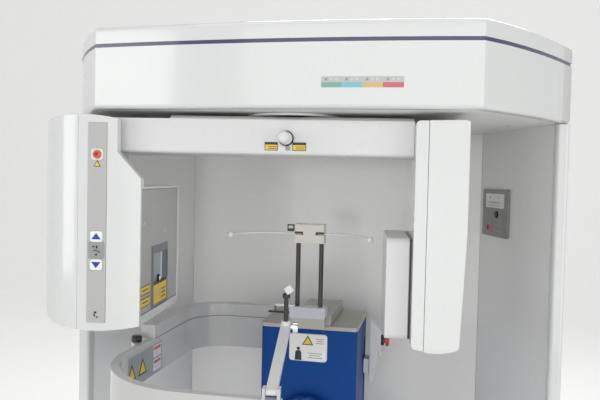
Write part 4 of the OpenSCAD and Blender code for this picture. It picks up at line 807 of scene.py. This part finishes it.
# Cream block: a small tab beside it, and the dark slots where the two wires come out
creamBlock = {
    "tabAt": (-0.040, 0.176, 1.3885), "tab": (0.018, 0.018), "tabField": (0.012, 0.007), "tabShift": (0, 0.002),
    "tabThick": 0.003, "tabFieldThick": 0.0034,
    "slotZ": 1.377, "slotInset": 0.0115, "slot": (0.021, 0.0052), "slotThick": 0.0003,
}
blockHome = ("head_slide", "cream_block")
tabPlace = placeOn(creamBlock["tabAt"], (1, 0, 0), (0, 0, 1))
label("blockTab", tabPlace, creamBlock["tab"], "black", blockHome, thick=creamBlock["tabThick"], edge=plateEdge)
label("blockTabField", tabPlace, creamBlock["tabField"], "stripGrey", blockHome, thick=creamBlock["tabFieldThick"],
      shift=creamBlock["tabShift"])
blockCorners = [nodes["head_block"].matrix_world @ Vector(c) for c in nodes["head_block"].bound_box]
blockFront = min(c.y for c in blockCorners)
blockLeft, blockRight = min(c.x for c in blockCorners), max(c.x for c in blockCorners)
for name, x in (("slotLeft", blockLeft + creamBlock["slotInset"]), ("slotRight", blockRight - creamBlock["slotInset"])):
    slotPlace = placeOn((x, blockFront, creamBlock["slotZ"]), (1, 0, 0), (0, 0, 1))
    label(name, slotPlace, creamBlock["slot"], "black", blockHome, thick=creamBlock["slotThick"])

# White tip on the chin rod, tilted up to the right
chinTip = {
    "at": (0.0125, -0.0590, 1.2670), "size": (0.018, 0.0115), "corner": 0.003, "thick": 0.012, "sink": 0.004,
    "edge": 0.0012, "tilt": 36,
}
tilt = math.radians(chinTip["tilt"])
tipPlace = placeOn(chinTip["at"], (math.cos(tilt), 0, math.sin(tilt)), (0, 1, 0))
plateOf("chinTip", roundedRect(*chinTip["size"], chinTip["corner"], 4), chinTip["thick"], tipPlace,
        mats["satinWhite"], "chin_post", "black_plastic", edge=chinTip["edge"], sink=chinTip["sink"])

# Joint line between the lower band and the upper bar, along the ring's inner wall
seam = {
    "wall": -0.3578, "back": 0.3818, "corner": 0.105, "cornerSteps": 12, "low": 1.1050, "high": 1.1072,
    "front": 0.064, "end": -0.130, "thick": 0.0006,
}


def seamPath():
    cx, cy = seam["wall"] + seam["corner"], seam["back"] - seam["corner"]
    points = [(seam["wall"], seam["front"]), (seam["wall"], cy)]
    for i in range(1, seam["cornerSteps"] + 1):
        a = math.pi - math.pi / 2 * i / seam["cornerSteps"]
        points.append((cx + seam["corner"] * math.cos(a), cy + seam["corner"] * math.sin(a)))
    points.append((seam["end"], seam["back"]))
    return points


path = seamPath()
verts = [(x, y, z) for x, y in path for z in (seam["low"], seam["high"])]
faces = [[2 * i, 2 * i + 1, 2 * i + 3, 2 * i + 2] for i in range(len(path) - 1)]
seamLine = newObject("ringSeam", verts, faces, mats["keyField"], *ringHome)
seamLine.modifiers.new("body", "SOLIDIFY").thickness = seam["thick"]

# Cushions: shrink is how much smaller the pad starts on each side, and cap how far a point may swell
cushions = (
    {"node": "seat_pad", "name": "seatCushion", "shrink": 0.007, "voxel": 0.006, "cap": 0.012, "body": "chair"},
    {"node": "back_pad", "name": "backCushion", "shrink": 0.006, "voxel": 0.005, "cap": 0.009, "body": "chair"},
)
cushionCloth = {"pressure": 4.0, "frames": 20, "weld": 0.00005}


# The pad's mesh after the cloth has swollen it, as a list of points
def swell(obj):
    cloth = obj.modifiers.new("cloth", "CLOTH")
    cloth.settings.use_pressure = True
    cloth.settings.uniform_pressure_force = cushionCloth["pressure"]
    cloth.settings.effector_weights.gravity = 0
    cloth.point_cache.frame_start = 1
    cloth.point_cache.frame_end = cushionCloth["frames"]
    for f in range(1, cushionCloth["frames"] + 1):
        bpy.context.scene.frame_set(f)
    grabbed = obj.evaluated_get(bpy.context.evaluated_depsgraph_get())
    return [v.co.copy() for v in grabbed.data.vertices]


def cushionFrom(node, name, shrink, voxel, cap, body):
    source = nodes[node]
    mesh = source.data.copy()
    obj = linkObject(name, mesh)
    obj.matrix_world = source.matrix_world.copy()
    low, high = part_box(node)
    middle = (Vector(low) + Vector(high)) / 2
    inverse = obj.matrix_world.inverted()
    for v in mesh.vertices:
        point = obj.matrix_world @ v.co
        for axis in range(3):
            half = (high[axis] - low[axis]) / 2
            point[axis] = middle[axis] + (point[axis] - middle[axis]) * (1 - shrink / half)
        v.co = inverse @ point
    bpy.ops.object.select_all(action="DESELECT")
    bpy.context.view_layer.objects.active = obj
    obj.select_set(True)
    obj.modifiers.new("weld", "WELD").merge_threshold = cushionCloth["weld"]
    remesh = obj.modifiers.new("remesh", "REMESH")
    remesh.mode = "VOXEL"
    remesh.voxel_size = voxel
    bpy.ops.object.convert(target="MESH")
    obj = bpy.context.view_layer.objects.active
    start = [v.co.copy() for v in obj.data.vertices]
    swollen = swell(obj)
    obj.modifiers.clear()
    for v, a, b in zip(obj.data.vertices, start, swollen):
        move = b - a
        if move.length > cap:
            move *= cap / move.length
        v.co = a + move
    bpy.context.scene.frame_set(1)
    sub = obj.modifiers.new("sub", "SUBSURF")
    sub.levels = 1
    sub.render_levels = 1
    smoothFaces(obj.data)
    setMaterial(obj, mats["vinyl"])
    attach(obj, body)
    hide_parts(node)


print("stage: cushions")
for spec in cushions:
    cushionFrom(**spec)

# Floor, backdrop and light. paperGlow and worldShown are only seen, and light nothing
print("stage: studio")
studio = {
    "floorSize": 8.0, "wallY": 7.0, "wallTop": 5.0, "curve": 1.0, "curveSteps": 16, "sink": 0.0005,
    "paper": (0.86, 0.86, 0.85), "rough": 0.9, "speckleScale": 30.0, "speckleShade": 0.98, "paperGlow": 0.42,
    "worldLevel": 0.43, "worldShown": 0.80,
}
# Each lamp: where it stands, what it looks at, its size and its power
lamps = {
    "keyLight": ((-2.2, -2.1, 1.7), (0.35, 0.4, 1.2), (1.6, 1.6), 22),
    "fillLight": ((2.6, -1.6, 1.5), (-0.35, 0.2, 1.25), (2.2, 2.2), 27),
    "frontLight": ((0.25, -3.0, 1.5), (0, 0.4, 1.3), (2.6, 2.2), 23),
    "backLight": ((0.0, 3.4, 3.6), (0, 0.6, 0.9), (2.4, 1.6), 50),
    "topLight": ((0.0, -0.6, 3.6), (0, 0.2, 1.2), (2.0, 1.4), 10),
}


# 1 for what the camera, a mirror or glass shows, so the paper looks pale and lights nothing
def seenDirectly(tree):
    rays = tree.nodes.new("ShaderNodeLightPath").outputs
    value = addMath(tree, "MAXIMUM", rays["Is Camera Ray"], rays["Is Glossy Ray"])
    return addMath(tree, "MAXIMUM", value, rays["Is Transmission Ray"])


def studioFinish(name, colour):
    mat, tree, shader = newMaterial(name)
    speckle = addNoise(tree, objectCoords(tree), studio["speckleScale"], 2.0)
    paper = addMix(tree, speckle, (*colour, 1), (*[c * studio["speckleShade"] for c in colour], 1))
    tree.links.new(paper, shader.inputs["Base Color"])
    shader.inputs["Roughness"].default_value = studio["rough"]
    tree.links.new(paper, shader.inputs["Emission Color"])
    glow = addMath(tree, "MULTIPLY", seenDirectly(tree), studio["paperGlow"])
    tree.links.new(glow, shader.inputs["Emission Strength"])
    return mat


def buildStage():
    size, curve, steps = studio["floorSize"], studio["curve"], studio["curveSteps"]
    foot = studio["wallY"] - curve
    angles = [math.pi / 2 * (i + 1) / steps for i in range(steps)]
    profile = [(-size, 0.0), (foot, 0.0)]
    profile += [(foot + math.sin(a) * curve, curve - math.cos(a) * curve) for a in angles]
    profile += [(studio["wallY"], studio["wallTop"])]
    verts = [(x, y, z - studio["sink"]) for y, z in profile for x in (-size, size)]
    faces = [[2 * i, 2 * i + 1, 2 * i + 3, 2 * i + 2] for i in range(len(profile) - 1)]
    mesh = bpy.data.meshes.new("floor")
    mesh.from_pydata(verts, [], faces)
    floor = linkObject("floor", mesh)
    smoothFaces(mesh)
    mesh.materials.append(studioFinish("studioPaper", studio["paper"]))


def areaLamp(name, place, target, size, power):
    light = bpy.data.lights.new(name, "AREA")
    light.shape = "RECTANGLE"
    light.size, light.size_y = size
    light.energy = power
    obj = linkObject(name, light)
    obj.location = place
    obj.rotation_euler = (Vector(target) - Vector(place)).to_track_quat("-Z", "Y").to_euler()


buildStage()
for name, values in lamps.items():
    areaLamp(name, *values)

world = bpy.data.worlds.new("studioWorld")
bpy.context.scene.world = world
world.use_nodes = True
background = world.node_tree.nodes["Background"]
background.inputs["Color"].default_value = (1.0, 1.0, 1.0, 1)
shown = addRange(world.node_tree, seenDirectly(world.node_tree), studio["worldLevel"], studio["worldShown"], 0.0, 1.0)
world.node_tree.links.new(shown, background.inputs["Strength"])

# The photo's camera, in the machine's own frame
print("stage: camera")
photoCamera = {
    "place": (0.3224, -1.4686, 1.519),
    "right": (0.97880, 0.20367, 0.02198),
    "up": (-0.02868, 0.03005, 0.99914),
    "back": (0.20283, -0.97858, 0.03525),
    "lens": 39.6,
    "sensor": 36.0,
}
camData = bpy.data.cameras.new("photoCamera")
camData.lens = photoCamera["lens"]
camData.sensor_width = photoCamera["sensor"]
camData.sensor_fit = "HORIZONTAL"
camera = linkObject("photoCamera", camData)
axes = Matrix((photoCamera["right"], photoCamera["up"], photoCamera["back"])).transposed().to_4x4()
camera.matrix_world = Matrix.Translation(Vector(photoCamera["place"])) @ axes
bpy.context.scene.camera = camera

bpy.context.scene.view_settings.view_transform = "Standard"

print("stage: finish")
